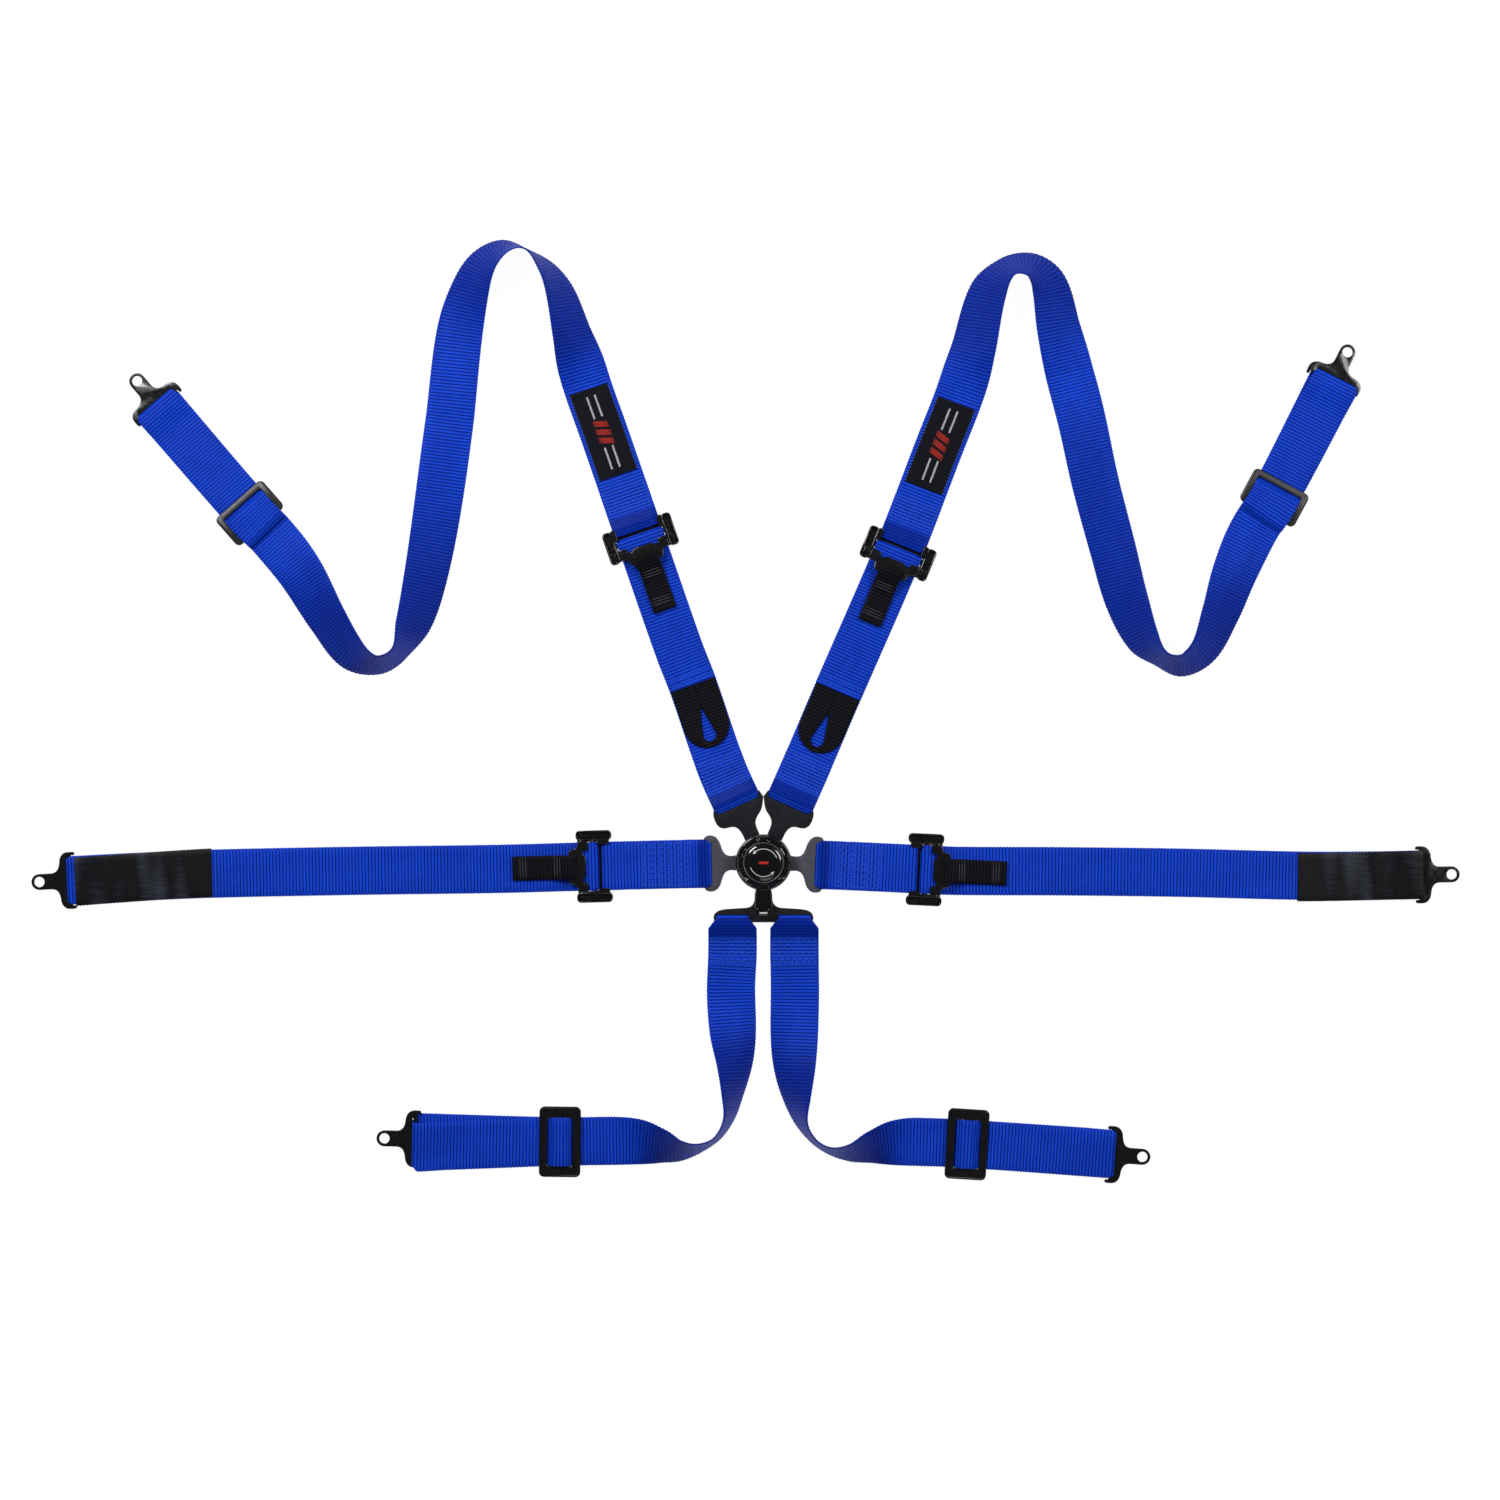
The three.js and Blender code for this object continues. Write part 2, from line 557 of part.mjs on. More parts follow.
for (const side of ["left", "right"]) {
  const arm = `${side}_shoulder`;
  const route = ROUTES[arm];
  const spot = (key) => route.nearest(...PLACES[arm][key]);
  const [hem, adjuster, label, sliderAt] = ["hem", "adjuster", "label", "slider"].map(spot);
  const turn = Math.PI / 2 + (side === "left" ? inward : -inward);
  addMesh(`${arm}_tongue`, shoulderTongue(side === "left" ? -1 : 1), "enamel", { x: 0, y: 0, turn });

  const lower = [
    [54, LAYER], [14, LAYER + 1.2], [9, TONGUE_Z - FOLD_RADIUS], ...tongueFold(0),
    [11, TONGUE_Z + FOLD_RADIUS], [26, SECOND + 0.5], [56, SECOND], [62, LAYER],
    [adjuster - 12, LAYER], [adjuster - 3, BAR_Z - LOCK_FOLD], ...foldArc(adjuster, BAR_Z, LOCK_FOLD, -90, 90),
    [adjuster - 15, 7.2], [adjuster - 28, SECOND], [hem, SECOND],
  ];
  addMesh(`${arm}_lower_strap`, strap(route, lower), "web");
  const loop = [[hem - 0.4, SECOND], [hem - 67, SECOND + 0.2]];
  const loopHalf = (s) => 24 * Math.sqrt(Math.max(0.3, 1 - (Math.max(0, hem - 45 - s) / 24) ** 2));
  addMesh(`${arm}_pull_loop`, strap(route, loop, { halfWidth: loopHalf }), "trim");
  addAdjuster(arm, onRoute(route, adjuster, true));

  const sewn = adjuster - SEWN_BAR_U;
  const upper = [
    [sewn + 43, LAYER], [sewn + 8, LAYER], [sewn + 3, BAR_Z - SEWN_FOLD],
    ...foldArc(sewn, BAR_Z, SEWN_FOLD, 270, 90),
    [sewn + 4, BAR_Z + SEWN_FOLD], [sewn + 22, SECOND], [sewn + 45, SECOND], [sewn + 51, LAYER],
    ...sliderAndAnchor(sliderAt, SHOULDER_WINDOW, route.length, [[-8, 9.6], [-21.5, 8.9], [-25.5, 5.6]]),
  ];
  addMesh(`${arm}_upper_strap`, strap(route, upper), "web");
  const patch = [[label - 46, LAYER + 1.4], [label + 46, LAYER + 1.4]];
  addMesh(`${arm}_label`, strap(route, patch, { halfWidth: () => 20, thick: 0.6 }), "trim");
  addMesh(`${arm}_slider`, slider(SHOULDER_SLIDER, 64, SHOULDER_WINDOW, 26.4), "steel", onRoute(route, sliderAt));
  addMesh(`${arm}_anchor_plate`, anchorPlate(), "enamel", onRoute(route, route.length));
}

// ---- lap belts ----

for (const side of ["left", "right"]) {
  const arm = `${side}_lap`;
  const route = ROUTES[arm];
  const adjuster = route.nearest(...PLACES[arm].adjuster);
  const hem = route.nearest(...PLACES[arm].hem);
  const end = route.length;
  const turn = side === "left" ? LEFT_LAP_ANGLE : RIGHT_LAP_ANGLE;
  addMesh(`${arm}_tongue`, lapTongue(), "steel", { x: 0, y: 0, turn });
  const sewn = adjuster + SEWN_BAR_U;
  const inner = [
    [30, LAYER], [14, LAYER + 1.2], [9, TONGUE_Z - FOLD_RADIUS], ...tongueFold(0),
    [11, TONGUE_Z + FOLD_RADIUS], [26, SECOND + 0.5], [sewn - 22, SECOND], [sewn - 4, BAR_Z + SEWN_FOLD],
    ...foldArc(sewn, BAR_Z, SEWN_FOLD, 90, -90),
    [sewn - 3, BAR_Z - SEWN_FOLD], [sewn - 8, LAYER], [36, LAYER],
  ];
  addMesh(`${arm}_inner_strap`, strap(route, inner), "web");
  addAdjuster(arm, onRoute(route, adjuster));
  const outer = [
    [hem, SECOND], [adjuster + 28, SECOND], [adjuster + 15, 7.2],
    ...foldArc(adjuster, BAR_Z, LOCK_FOLD, 90, 270),
    [adjuster + 3, BAR_Z - LOCK_FOLD], [adjuster + 12, LAYER], ...foldEnd(end),
    [end - 16, ANCHOR_Z + FOLD_RADIUS], [end - 32, SECOND], [end - 52, SECOND],
  ];
  addMesh(`${arm}_outer_strap`, strap(route, outer), "web");
  const cover = [
    [hem + 0.4, SECOND], [end - 60, SECOND], [end - 50, SECOND + 1.7],
    [end - 33, SECOND + 1.9], [end - 16, ANCHOR_Z + FOLD_RADIUS + 1.6], [end - 6, ANCHOR_Z + FOLD_RADIUS + 1.6],
  ];
  addMesh(`${arm}_wear_strip`, strap(route, cover, { halfWidth: () => 24.5, thick: 1 }), "strip");
  addMesh(`${arm}_anchor_plate`, anchorPlate(), "enamel", onRoute(route, end));
}

// ---- crotch belts ----

addMesh("crotch_tongue", crotchTongue(), "enamel", { x: 0, y: 0, turn: -Math.PI / 2 });
for (const side of ["left", "right"]) {
  const arm = `${side}_crotch`;
  const route = ROUTES[arm];
  const sliderAt = route.nearest(...PLACES[arm].slider);
  const path = [
    [50, LAYER], [14, LAYER + 1.2], [9, TONGUE_Z - FOLD_RADIUS], ...tongueFold(0),
    [11, TONGUE_Z + FOLD_RADIUS], [26, SECOND + 0.5], [52, SECOND], [58, LAYER],
    ...sliderAndAnchor(sliderAt, CROTCH_WINDOW, route.length, [[-3.6, 9.9], [-5, 9.4], [-11.2, 4.1]]),
  ];
  const half = (s) => THREE.MathUtils.clamp(CROTCH_NARROW + (s - 3) * 0.75, CROTCH_NARROW, WEB_WIDTH / 2);
  addMesh(`${arm}_strap`, strap(route, path, { halfWidth: half }), "web");
  addMesh(`${arm}_slider`, slider(CROTCH_SLIDER, 73, CROTCH_WINDOW, 27.5), "enamel", onRoute(route, sliderAt));
  addMesh(`${arm}_anchor_plate`, anchorPlate(), "enamel", onRoute(route, route.length));
}

// ---- buckle ----

const TONGUE_TURNS = {
  left_shoulder: Math.PI / 2 + inward,
  right_shoulder: Math.PI / 2 - inward,
  left_lap: LEFT_LAP_ANGLE,
  right_lap: RIGHT_LAP_ANGLE,
  crotch: -Math.PI / 2,
};

function buckleBase() {
  const pieces = [disc(BUCKLE_RADIUS - 1, 0, 4.4), disc(5.5, 4.2, 8.6, 20)];
  for (const degrees of [33, 148, 225, 314]) {
    const post = new THREE.BoxGeometry(5.5, 4, 4.4).translate(23.5, 0, 6.4);
    pieces.push(post.rotateZ(THREE.MathUtils.degToRad(degrees)));
  }
  return joined(pieces);
}

function buckleCover() {
  const profile = [[4.6, 9], [28, 9], [28, 17.2], [25.2, 17.2], [25.2, 10.6], [4.6, 10.6], [4.6, 9]];
  const shell = new THREE.LatheGeometry(profile.map(([r, z]) => new THREE.Vector2(r, z)), 40);
  let solid = toSolid(shell.rotateX(Math.PI / 2));
  if (solid.volume() < 0) {
    throw new Error("the cover's profile runs the wrong way");
  }
  for (const turn of Object.values(TONGUE_TURNS)) {
    const hole = disc(PIN_RADIUS + 0.35, 8, 12, 16).translate(PIN_RING, 0, 0).rotateZ(turn);
    solid = solid.subtract(toSolid(hole));
  }
  return toGeometry(solid);
}

function latchPin() {
  return joined([
    disc(PIN_RADIUS, 4.9, 11.4, 14).translate(PIN_RING, 0, 0),
    disc(PIN_RADIUS + 1.2, 10.9, 11.9, 14).translate(PIN_RING, 0, 0),
  ]);
}

function releaseDial() {
  const rim = new THREE.Shape();
  const lobes = 6;
  const steps = 48;
  for (let i = 0; i < steps; i++) {
    const angle = (2 * Math.PI * i) / steps;
    const radius = 26.6 + 0.9 * Math.cos(lobes * angle);
    rim[i ? "lineTo" : "moveTo"](radius * Math.cos(angle), radius * Math.sin(angle));
  }
  rim.closePath();
  const half = LEVER_WIDTH / 2;
  const lever = rectangle(-LEVER_REACH, -half, -18, half, 3);
  const handle = flatPlate(lever, 17.6, 21.5).rotateZ(Math.PI / 2);
  return joined([
    flatPlate(rim, 17.6, 22),
    disc(21.6, 21.8, 23.2),
    handle,
  ]);
}

function dialCap() {
  const profile = [[0, 23.5], [20, 23.5], [20, 24.4], [17.5, 25.8], [11, 26.9], [0, 27.4]];
  return new THREE.LatheGeometry(profile.map(([r, z]) => new THREE.Vector2(r, z)), 36).rotateX(Math.PI / 2);
}

function returnSpring() {
  const profile = [[5.6, 10.9], [8.4, 10.9], [8.4, 15], [5.6, 15], [5.6, 10.9]];
  return new THREE.LatheGeometry(profile.map(([r, z]) => new THREE.Vector2(r, z)), 24).rotateX(Math.PI / 2);
}

addMesh("buckle_base", buckleBase(), "enamel");
addMesh("buckle_cover", buckleCover(), "enamel");
addMesh("spindle", disc(4.2, 8.9, 15.3, 20), "steel");
addMesh("return_spring", returnSpring(), "steel");
addMesh("cam_plate", disc(21, 15.6, 17.3), "steel");
addMesh("release_dial", releaseDial(), "plastic");
addMesh("dial_cap", dialCap(), "plastic");
for (const [name, turn] of Object.entries(TONGUE_TURNS)) {
  addMesh(`${name}_latch_pin`, latchPin(), "steel", { x: 0, y: 0, turn });
}

export default harness;
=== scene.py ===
"""Six-strap cam-lock racing harness laid flat. Shapes are worked out in millimetres and stored in metres."""

import json
import math

import bmesh
import bpy
import numpy as np
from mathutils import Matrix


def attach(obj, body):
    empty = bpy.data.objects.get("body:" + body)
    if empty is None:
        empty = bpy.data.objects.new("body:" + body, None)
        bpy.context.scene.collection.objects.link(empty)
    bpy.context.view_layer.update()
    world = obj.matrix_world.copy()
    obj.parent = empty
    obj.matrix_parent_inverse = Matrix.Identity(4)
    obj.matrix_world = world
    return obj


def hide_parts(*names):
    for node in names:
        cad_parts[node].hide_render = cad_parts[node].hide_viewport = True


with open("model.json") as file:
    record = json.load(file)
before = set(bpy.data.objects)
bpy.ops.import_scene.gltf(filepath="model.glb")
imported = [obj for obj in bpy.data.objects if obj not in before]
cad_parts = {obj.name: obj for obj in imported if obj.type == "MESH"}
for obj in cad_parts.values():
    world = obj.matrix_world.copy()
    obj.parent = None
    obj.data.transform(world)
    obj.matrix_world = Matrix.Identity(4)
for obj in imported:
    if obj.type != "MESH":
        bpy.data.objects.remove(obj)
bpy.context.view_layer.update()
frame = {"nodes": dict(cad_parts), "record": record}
MM = 0.001
RECORD = frame["record"]
BODY_OF = {node: body for body, nodes in RECORD["behaviour"]["bodies"].items() for node in nodes}
SIDES = ("left", "right")

# ---- sizes shared with the working model, in millimetres ----
WEB_WIDTH = 50
WEB_THICK = 1.5
LAYER = WEB_THICK / 2
SECOND = 2.6
FOLD_RADIUS = 3.25
FOLD_BACK = FOLD_RADIUS + LAYER
PLATE = 3
TONGUE_Z = 6.5
ANCHOR_Z = 4
VISIBLE_SLOT = 21
BAR_HALF = 1.7
SHOULDER_ANGLE = math.radians(24)
SHOULDER_FOLD = 63
LAP_FOLD = 53
LEFT_LAP_ANGLE = math.radians(181.4)
RIGHT_LAP_ANGLE = math.radians(-2.6)
PIN_RING = 15
LEVER_REACH = 54
LEVER_WIDTH = 17.5
DOME_RADIUS = 18.4
DOME_EDGE = 24.9
DOME_RISE = 2.3
CHEEK_IN = 26.8
CHEEK_OUT = 37.2
CHEEK_HALF = 19
SEWN_BAR_U = -13
SEWN_BAR_RADIUS = 2.2
LOCK_BAR_RADIUS = 2.8
BAR_Z = 4.8
FAR_BAR_U = 15
FAR_BAR_Z = 4.1
FAR_BAR_RADIUS = 1.7
EAR_V = 25.85
LOCK_FOLD = LOCK_BAR_RADIUS + 0.3 + LAYER
SEWN_FOLD = SEWN_BAR_RADIUS + 0.3 + LAYER
LEAN = 0.8
TAB_END = 84
SLIDER_LOW = 3.9
SLIDER_TOP = 6.9
SHOULDER_SLIDER = 38
SHOULDER_WINDOW = 12
MIDDLE_BAR_HALF = 3
WINDOW_HALF = 24.9
CROTCH_SLIDER = 43
CROTCH_WINDOW = 13
CROTCH_FOLD = 54
CROTCH_STRAP = 32
CROTCH_NARROW = 16.5

# ---- weave sizes ----
RIB_PITCH = 3.4
RIB_HEIGHT = 0.36
ROWS_PER_RIB = 4
EDGE_SCALLOP = 0.3
WARP_PITCH = 0.95
HEM_HALF = 22.5
UNDERSIDE = 26


def smooth_step(x, low, high):
    """Nought below low, one above high, and three t squared less twice t cubed between."""
    t = np.clip((x - low) / (high - low), 0, 1)
    return t * t * (3 - 2 * t)


# ================= routes =================
class Route:
    """A smooth plan curve through [x, y, tilt] points: cubic Hermite spans on chord-length knots with
    central-difference slopes, and tilt slopes of nought wherever the tilt doesn't rise or fall steadily."""

    def __init__(self, points):
        p = np.array(points, float)
        gaps = np.hypot(*np.diff(p[:, :2], axis=0).T)
        knots = np.concatenate([[0], np.cumsum(gaps)])
        before = np.maximum(np.arange(len(p)) - 1, 0)
        after = np.minimum(np.arange(len(p)) + 1, len(p) - 1)
        slopes = (p[after] - p[before]) / (knots[after] - knots[before])[:, None]
        steady = (p[:, 2] - p[before, 2]) * (p[after, 2] - p[:, 2]) > 0
        slopes[:, 2] = np.where(steady, slopes[:, 2], 0)
        rows = []
        for i, gap in enumerate(gaps):
            steps = math.ceil(gap)
            t = (np.arange(steps + (i == len(gaps) - 1)) / steps)[:, None]
            rows.append(
                (2 * t**3 - 3 * t**2 + 1) * p[i] + (t**3 - 2 * t**2 + t) * gap * slopes[i]
                + (3 * t**2 - 2 * t**3) * p[i + 1] + (t**3 - t**2) * gap * slopes[i + 1]
            )
        self.table = np.concatenate(rows)
        runs = np.hypot(*np.diff(self.table[:, :2], axis=0).T)
        self.lengths = np.concatenate([[0], np.cumsum(runs)])
        self.length = self.lengths[-1]
        ahead = np.minimum(np.arange(len(self.table)) + 3, len(self.table) - 1)
        behind = np.maximum(np.arange(len(self.table)) - 3, 0)
        way = self.table[ahead, :2] - self.table[behind, :2]
        self.way = way / np.hypot(*way.T)[:, None]

    def at(self, s):
        """x, y, heading x, heading y and tilt in radians at lengths s, carried straight on past the ends."""
        s = np.asarray(s, float)
        inside = np.clip(s, 0, self.length)
        x, y, tilt = (np.interp(inside, self.lengths, self.table[:, k]) for k in range(3))
        hx, hy = (np.interp(inside, self.lengths, self.way[:, k]) for k in range(2))
        size = np.hypot(hx, hy)
        hx, hy = hx / size, hy / size
        return x + (s - inside) * hx, y + (s - inside) * hy, hx, hy, np.radians(tilt)

    def nearest(self, x, y):
        """The length along the curve that is closest to a point."""
        return self.lengths[np.argmin(np.hypot(self.table[:, 0] - x, self.table[:, 1] - y))]

    def place(self, s, w, h):
        """World points of (along, across, height): across and height turned by the tilt about the heading,
        then lifted by half a width times the tilt's sine, so that the low edge stays on the floor."""
        x, y, hx, hy, tilt = self.at(s)
        flat = w * np.cos(tilt) - h * np.sin(tilt)
        up = w * np.sin(tilt) + h * np.cos(tilt) + np.abs(np.sin(tilt)) * WEB_WIDTH / 2
        return np.stack([x - flat * hy, y + flat * hx, up], axis=-1)


def away(reach, angle):
    """A flat route point at a distance and direction from the buckle's axis."""
    return [reach * math.cos(angle), reach * math.sin(angle), 0]


FOLD_X = SHOULDER_FOLD * math.sin(SHOULDER_ANGLE)
FOLD_Y = SHOULDER_FOLD * math.cos(SHOULDER_ANGLE)
ROUTES = {
    "left_shoulder": Route([
        [-FOLD_X, FOLD_Y, 0], [-1.7 * FOLD_X, 1.7 * FOLD_Y, 0], [-73, 183, 0], [-87, 219, 0],
        [-127, 334, 0], [-165, 444, 0], [-182, 492, 0], [-197, 543, 37], [-210, 588, 56],
        [-224, 612, 70], [-244, 629, 84], [-267, 631, 64], [-286, 619, 49], [-299, 597, 36],
        [-313, 547, 13], [-324, 457, 0], [-339, 346, -21], [-351, 280, -36], [-361, 244, -50],
        [-376, 214, -75], [-397, 204, -68], [-424, 216, -44], [-448, 250, -33], [-478, 300, -14],
        [-507, 336, 0], [-530, 360, 0], [-628, 475, 0],
    ]),
    "right_shoulder": Route([
        [FOLD_X, FOLD_Y, 0], [1.7 * FOLD_X, 1.7 * FOLD_Y, 0], [77, 176, 0], [139, 319, 0],
        [182, 430, 0], [203, 484, 0], [216, 527, -24], [232, 589, -42], [252, 612, -60],
        [276, 613, -52], [293, 596, -37], [304, 550, -20], [316, 505, 0], [328, 457, 14],
        [342, 392, 20], [360, 323, 25], [374, 270, 34], [391, 228, 54], [410, 209, 74],
        [431, 204, 62], [453, 220, 48], [470, 257, 33], [486, 300, 16], [506, 342, 0],
        [527, 376, 0], [590, 501, 0],
    ]),
    "left_lap": Route([
        away(LAP_FOLD, LEFT_LAP_ANGLE), away(115, LEFT_LAP_ANGLE), [-175, -4.3, 0], [-272, -7, 0],
        [-420, -9, 0], [-569, -12, 0], [-640, -15, 0], [-719, -19, 0],
    ]),
    "right_lap": Route([
        away(LAP_FOLD, RIGHT_LAP_ANGLE), away(115, RIGHT_LAP_ANGLE), [167, -7.6, 0],
        away(200, RIGHT_LAP_ANGLE), [306, -9.5, 0], [430, -11, 0], [551, -14, 0],
        [620, -14, 0], [682, -13, 0],
    ]),
    "left_crotch": Route([
        [-32, -54, 0], [-32, -95, 0], [-33.5, -132, 0], [-32, -170, -14], [-30, -204, -40],
        [-32, -236, -62], [-36, -262, -76], [-48, -282, -80], [-66, -292, -74], [-86, -295, -58],
        [-107, -291, -37], [-130, -288, -14], [-160, -288, 0], [-210, -288.5, 0], [-363, -285.5, 0],
    ]),
    "right_crotch": Route([
        [32, -54, 0], [32, -95, 0], [32.5, -132, 0], [32, -170, 8], [32, -204, 26], [34, -238, 52],
        [39, -266, 74], [52, -285, 80], [69, -295, 76], [90, -297, 62], [113, -292, 40],
        [135, -289, 16], [160, -289, 0], [210, -291, 0], [363, -302, 0],
    ]),
}
PLACES = {
    "left_shoulder": {
        "hem": (-73, 183), "adjuster": (-127, 334), "label": (-165, 444), "slider": (-530, 360),
    },
    "right_shoulder": {
        "hem": (77, 176), "adjuster": (139, 319), "label": (182, 430), "slider": (527, 376),
    },
    "left_lap": {"hem": (-569, -12), "adjuster": (-175, -4.3)},
    "right_lap": {"hem": (551, -14), "adjuster": (167, -7.6)},
    "left_crotch": {"slider": (-210, -289)},
    "right_crotch": {"slider": (210, -291)},
}


def spot(arm, key):
    """The length along an arm's route at one of its fittings."""
    return ROUTES[arm].nearest(*PLACES[arm][key])


# ================= meshes =================
def new_object(name, mesh):
    """A mesh, curve, lamp or camera put in the scene at the origin, unturned."""
    piece = bpy.data.objects.new(name, mesh)
    bpy.context.scene.collection.objects.link(piece)
    return piece


def grid_mesh(name, points, uv):
    """A closed tube from a grid of world points in millimetres, rows by ring, with flat ends."""
    rows, ring = points.shape[:2]
    a = np.arange(rows - 1)[:, None] * ring + np.arange(ring)[None]
    b = np.arange(rows - 1)[:, None] * ring + (np.arange(ring)[None] + 1) % ring
    quads = np.stack([a, a + ring, b + ring, b], axis=-1).reshape(-1, 4)
    loops = np.concatenate([quads.ravel(), np.arange(ring), np.arange(ring)[::-1] + (rows - 1) * ring])
    totals = np.concatenate([np.full(len(quads), 4), [ring, ring]])
    mesh = bpy.data.meshes.new(name)
    mesh.vertices.add(rows * ring)
    mesh.vertices.foreach_set("co", (points.reshape(-1, 3) * MM).ravel())
    mesh.loops.add(len(loops))
    mesh.loops.foreach_set("vertex_index", loops)
    mesh.polygons.add(len(totals))
    mesh.polygons.foreach_set("loop_start", np.concatenate([[0], np.cumsum(totals)[:-1]]))
    mesh.polygons.foreach_set("use_smooth", np.arange(len(totals)) < len(quads))
    mesh.update(calc_edges=True)
    layer = mesh.uv_layers.new(name="cloth")
    layer.data.foreach_set("uv", (uv.reshape(-1, 2)[loops] * MM).ravel())
    mesh.validate()
    return mesh


def clean_mesh(mesh, merge=0.0):
    """Merges points closer than a distance, if one is given, and turns every face outwards."""
    work = bmesh.new()
    work.from_mesh(mesh)
    if merge:
        bmesh.ops.remove_doubles(work, verts=work.verts, dist=merge)
    bmesh.ops.recalc_face_normals(work, faces=work.faces)
    work.to_mesh(mesh)
    work.free()


def set_paint(piece, paint):
    piece.data.materials.clear()
    piece.data.materials.append(paint)


def side_part(piece, node, paint):
    """A detail that goes with a node, without standing for it."""
    set_paint(piece, paint)
    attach(piece, BODY_OF[node])
    return piece


def finish_piece(piece, node, paint):
    """Gives a piece its finish and the body of the node it stands for, and hides that node."""
    side_part(piece, node, paint)
    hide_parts(node)
    return piece


def steel_piece(node, mesh, paint):
    """The steel piece that stands for a node."""
    return finish_piece(new_object(f"{node}_steel", mesh), node, paint)


# ================= webbing =================
def fold_arc(s, h, radius, start, end, count=24):
    """Points round a fold about (s, h), from one angle to another in degrees."""
    angle = np.radians(np.linspace(start, end, count))
    return [list(p) for p in np.stack([s + radius * np.cos(angle), h + radius * np.sin(angle)], axis=1)]


def resample(path, step):
    """Even points along a polyline."""
    p = np.array(path, float)
    runs = np.concatenate([[0], np.cumsum(np.hypot(*np.diff(p, axis=0).T))])
    places = np.linspace(0, runs[-1], max(2, round(runs[-1] / step) + 1))
    return np.stack([np.interp(places, runs, p[:, k]) for k in range(2)], axis=1)


def soften(points, sigma, step):
    """A moving average with bell-shaped weights, its ends carried straight on."""
    reach = int(3 * sigma / step)
    weights = np.exp(-0.5 * (np.arange(-reach, reach + 1) * step / sigma) ** 2)
    weights /= weights.sum()
    head = points[0] - (points[1] - points[0]) * np.arange(reach, 0, -1)[:, None]
    tail = points[-1] + (points[-1] - points[-2]) * np.arange(1, reach + 1)[:, None]
    padded = np.concatenate([head, points, tail])
    return np.stack([np.convolve(padded[:, k], weights, "valid") for k in range(2)], axis=1)


class Band:
    """A strap of webbing: a side-view path of (along, height) points, softened where it isn't folded tightly,
    laid on a route, with a flat ring section whose thickness and edges swell once in every rib."""

    FINE = 0.25

    def __init__(self, route, path, tight=(), half=lambda s: WEB_WIDTH / 2 + 0 * s, thick=WEB_THICK):
        self.route, self.half, self.thick = route, half, thick
        self.drift = lambda run: 0 * run
        fine = resample(path, self.FINE)
        close, loose = soften(fine, 0.9, self.FINE), soften(fine, 5, self.FINE)
        near = np.full(len(fine), 99.0)
        for s, h, radius in tight:
            near = np.minimum(near, np.hypot(fine[:, 0] - s, fine[:, 1] - h) - radius)
        blend = smooth_step(near, 0, 9)[:, None]
        self.centre = resample(close * (1 - blend) + loose * blend, self.FINE)
        self.runs = np.concatenate([[0], np.cumsum(np.hypot(*np.diff(self.centre, axis=0).T))])
        self.length = self.runs[-1]
        way = np.gradient(self.centre, axis=0)
        self.way = way / np.hypot(*way.T)[:, None]

    def along(self, s, h=None):
        """The length along the strap of the point nearest to (s, h)."""
        gap = np.abs(self.centre[:, 0] - s) + (0 if h is None else 3 * np.abs(self.centre[:, 1] - h))
        return self.runs[np.argmin(gap)]

    def surface(self, run, w, n):
        """World points at a length along the strap, w across it and n out of its middle."""
        s, h, ts, th = (np.interp(run, self.runs, v) for v in (*self.centre.T, *self.way.T))
        size = np.hypot(ts, th)
        return self.route.place(s - n * th / size, w + self.drift(run), h + n * ts / size)

    def skew(self, turn, front, back, fade):
        """Lets the two layers either side of a fold lie askew: the sideways shift is back before the fold at
        length turn and front just after it, crossing over within the fold, and both fade evenly to nought."""
        def drift(run):
            past = run - turn
            near = np.clip(1 - np.abs(past) / fade, 0, 1)
            return near * (back + (front - back) * smooth_step(past, -9, 9))
        self.drift = drift

    def piece(self, name, node, paint, ribs=RIB_HEIGHT, smooth_at=()):
        """The strap's mesh. smooth_at lists (length, reach) stretches where the ribs are pulled flat."""
        rows = max(8, round(self.length / (RIB_PITCH / ROWS_PER_RIB)))
        run = np.linspace(0, self.length, rows + 1)[:, None]
        flats = np.linspace(-0.965, 0.965, 9)
        across = np.concatenate([flats, [0.992, 1, 0.992], flats[::-1], [-0.992, -1, -0.992]])[None]
        out = np.concatenate([np.ones(9), [0.6, 0, -0.6], -np.ones(9), [-0.6, 0, 0.6]])[None]
        wave = np.cos(2 * math.pi * run / RIB_PITCH)
        strength = np.ones_like(run)
        for middle, reach in smooth_at:
            strength = np.minimum(strength, np.clip((np.abs(run - middle) - reach) / 5, 0.25, 1))
        s_here = np.interp(run[:, 0], self.runs, self.centre[:, 0])
        half = self.half(s_here)[:, None]
        scallop = np.sign(across) * EDGE_SCALLOP * wave * strength
        w = across * half + np.where(np.abs(across) > 0.98, scallop, 0)
        n = out * (self.thick / 2 + ribs / 2 * wave * strength)
        points = self.surface(np.broadcast_to(run, w.shape), w, n)
        uv = np.stack([w, np.broadcast_to(run, w.shape)], axis=-1)
        mesh = grid_mesh(name, points, uv)
        # The turned attribute grows as the strap tilts on edge; the webbing paint uses it for painted shade
        # on the bends.
        lean = np.abs(np.sin(self.route.at(s_here)[4]))[:, None]
        for key, value in (("smoothness", 1 - strength), ("turned", 0.6 * smooth_step(lean, 0.08, 0.6))):
            layer = mesh.attributes.new(key, "FLOAT", "POINT")
            layer.data.foreach_set("value", np.broadcast_to(value, w.shape).ravel())
        piece = finish_piece(new_object(name, mesh), node, paint)
        return piece


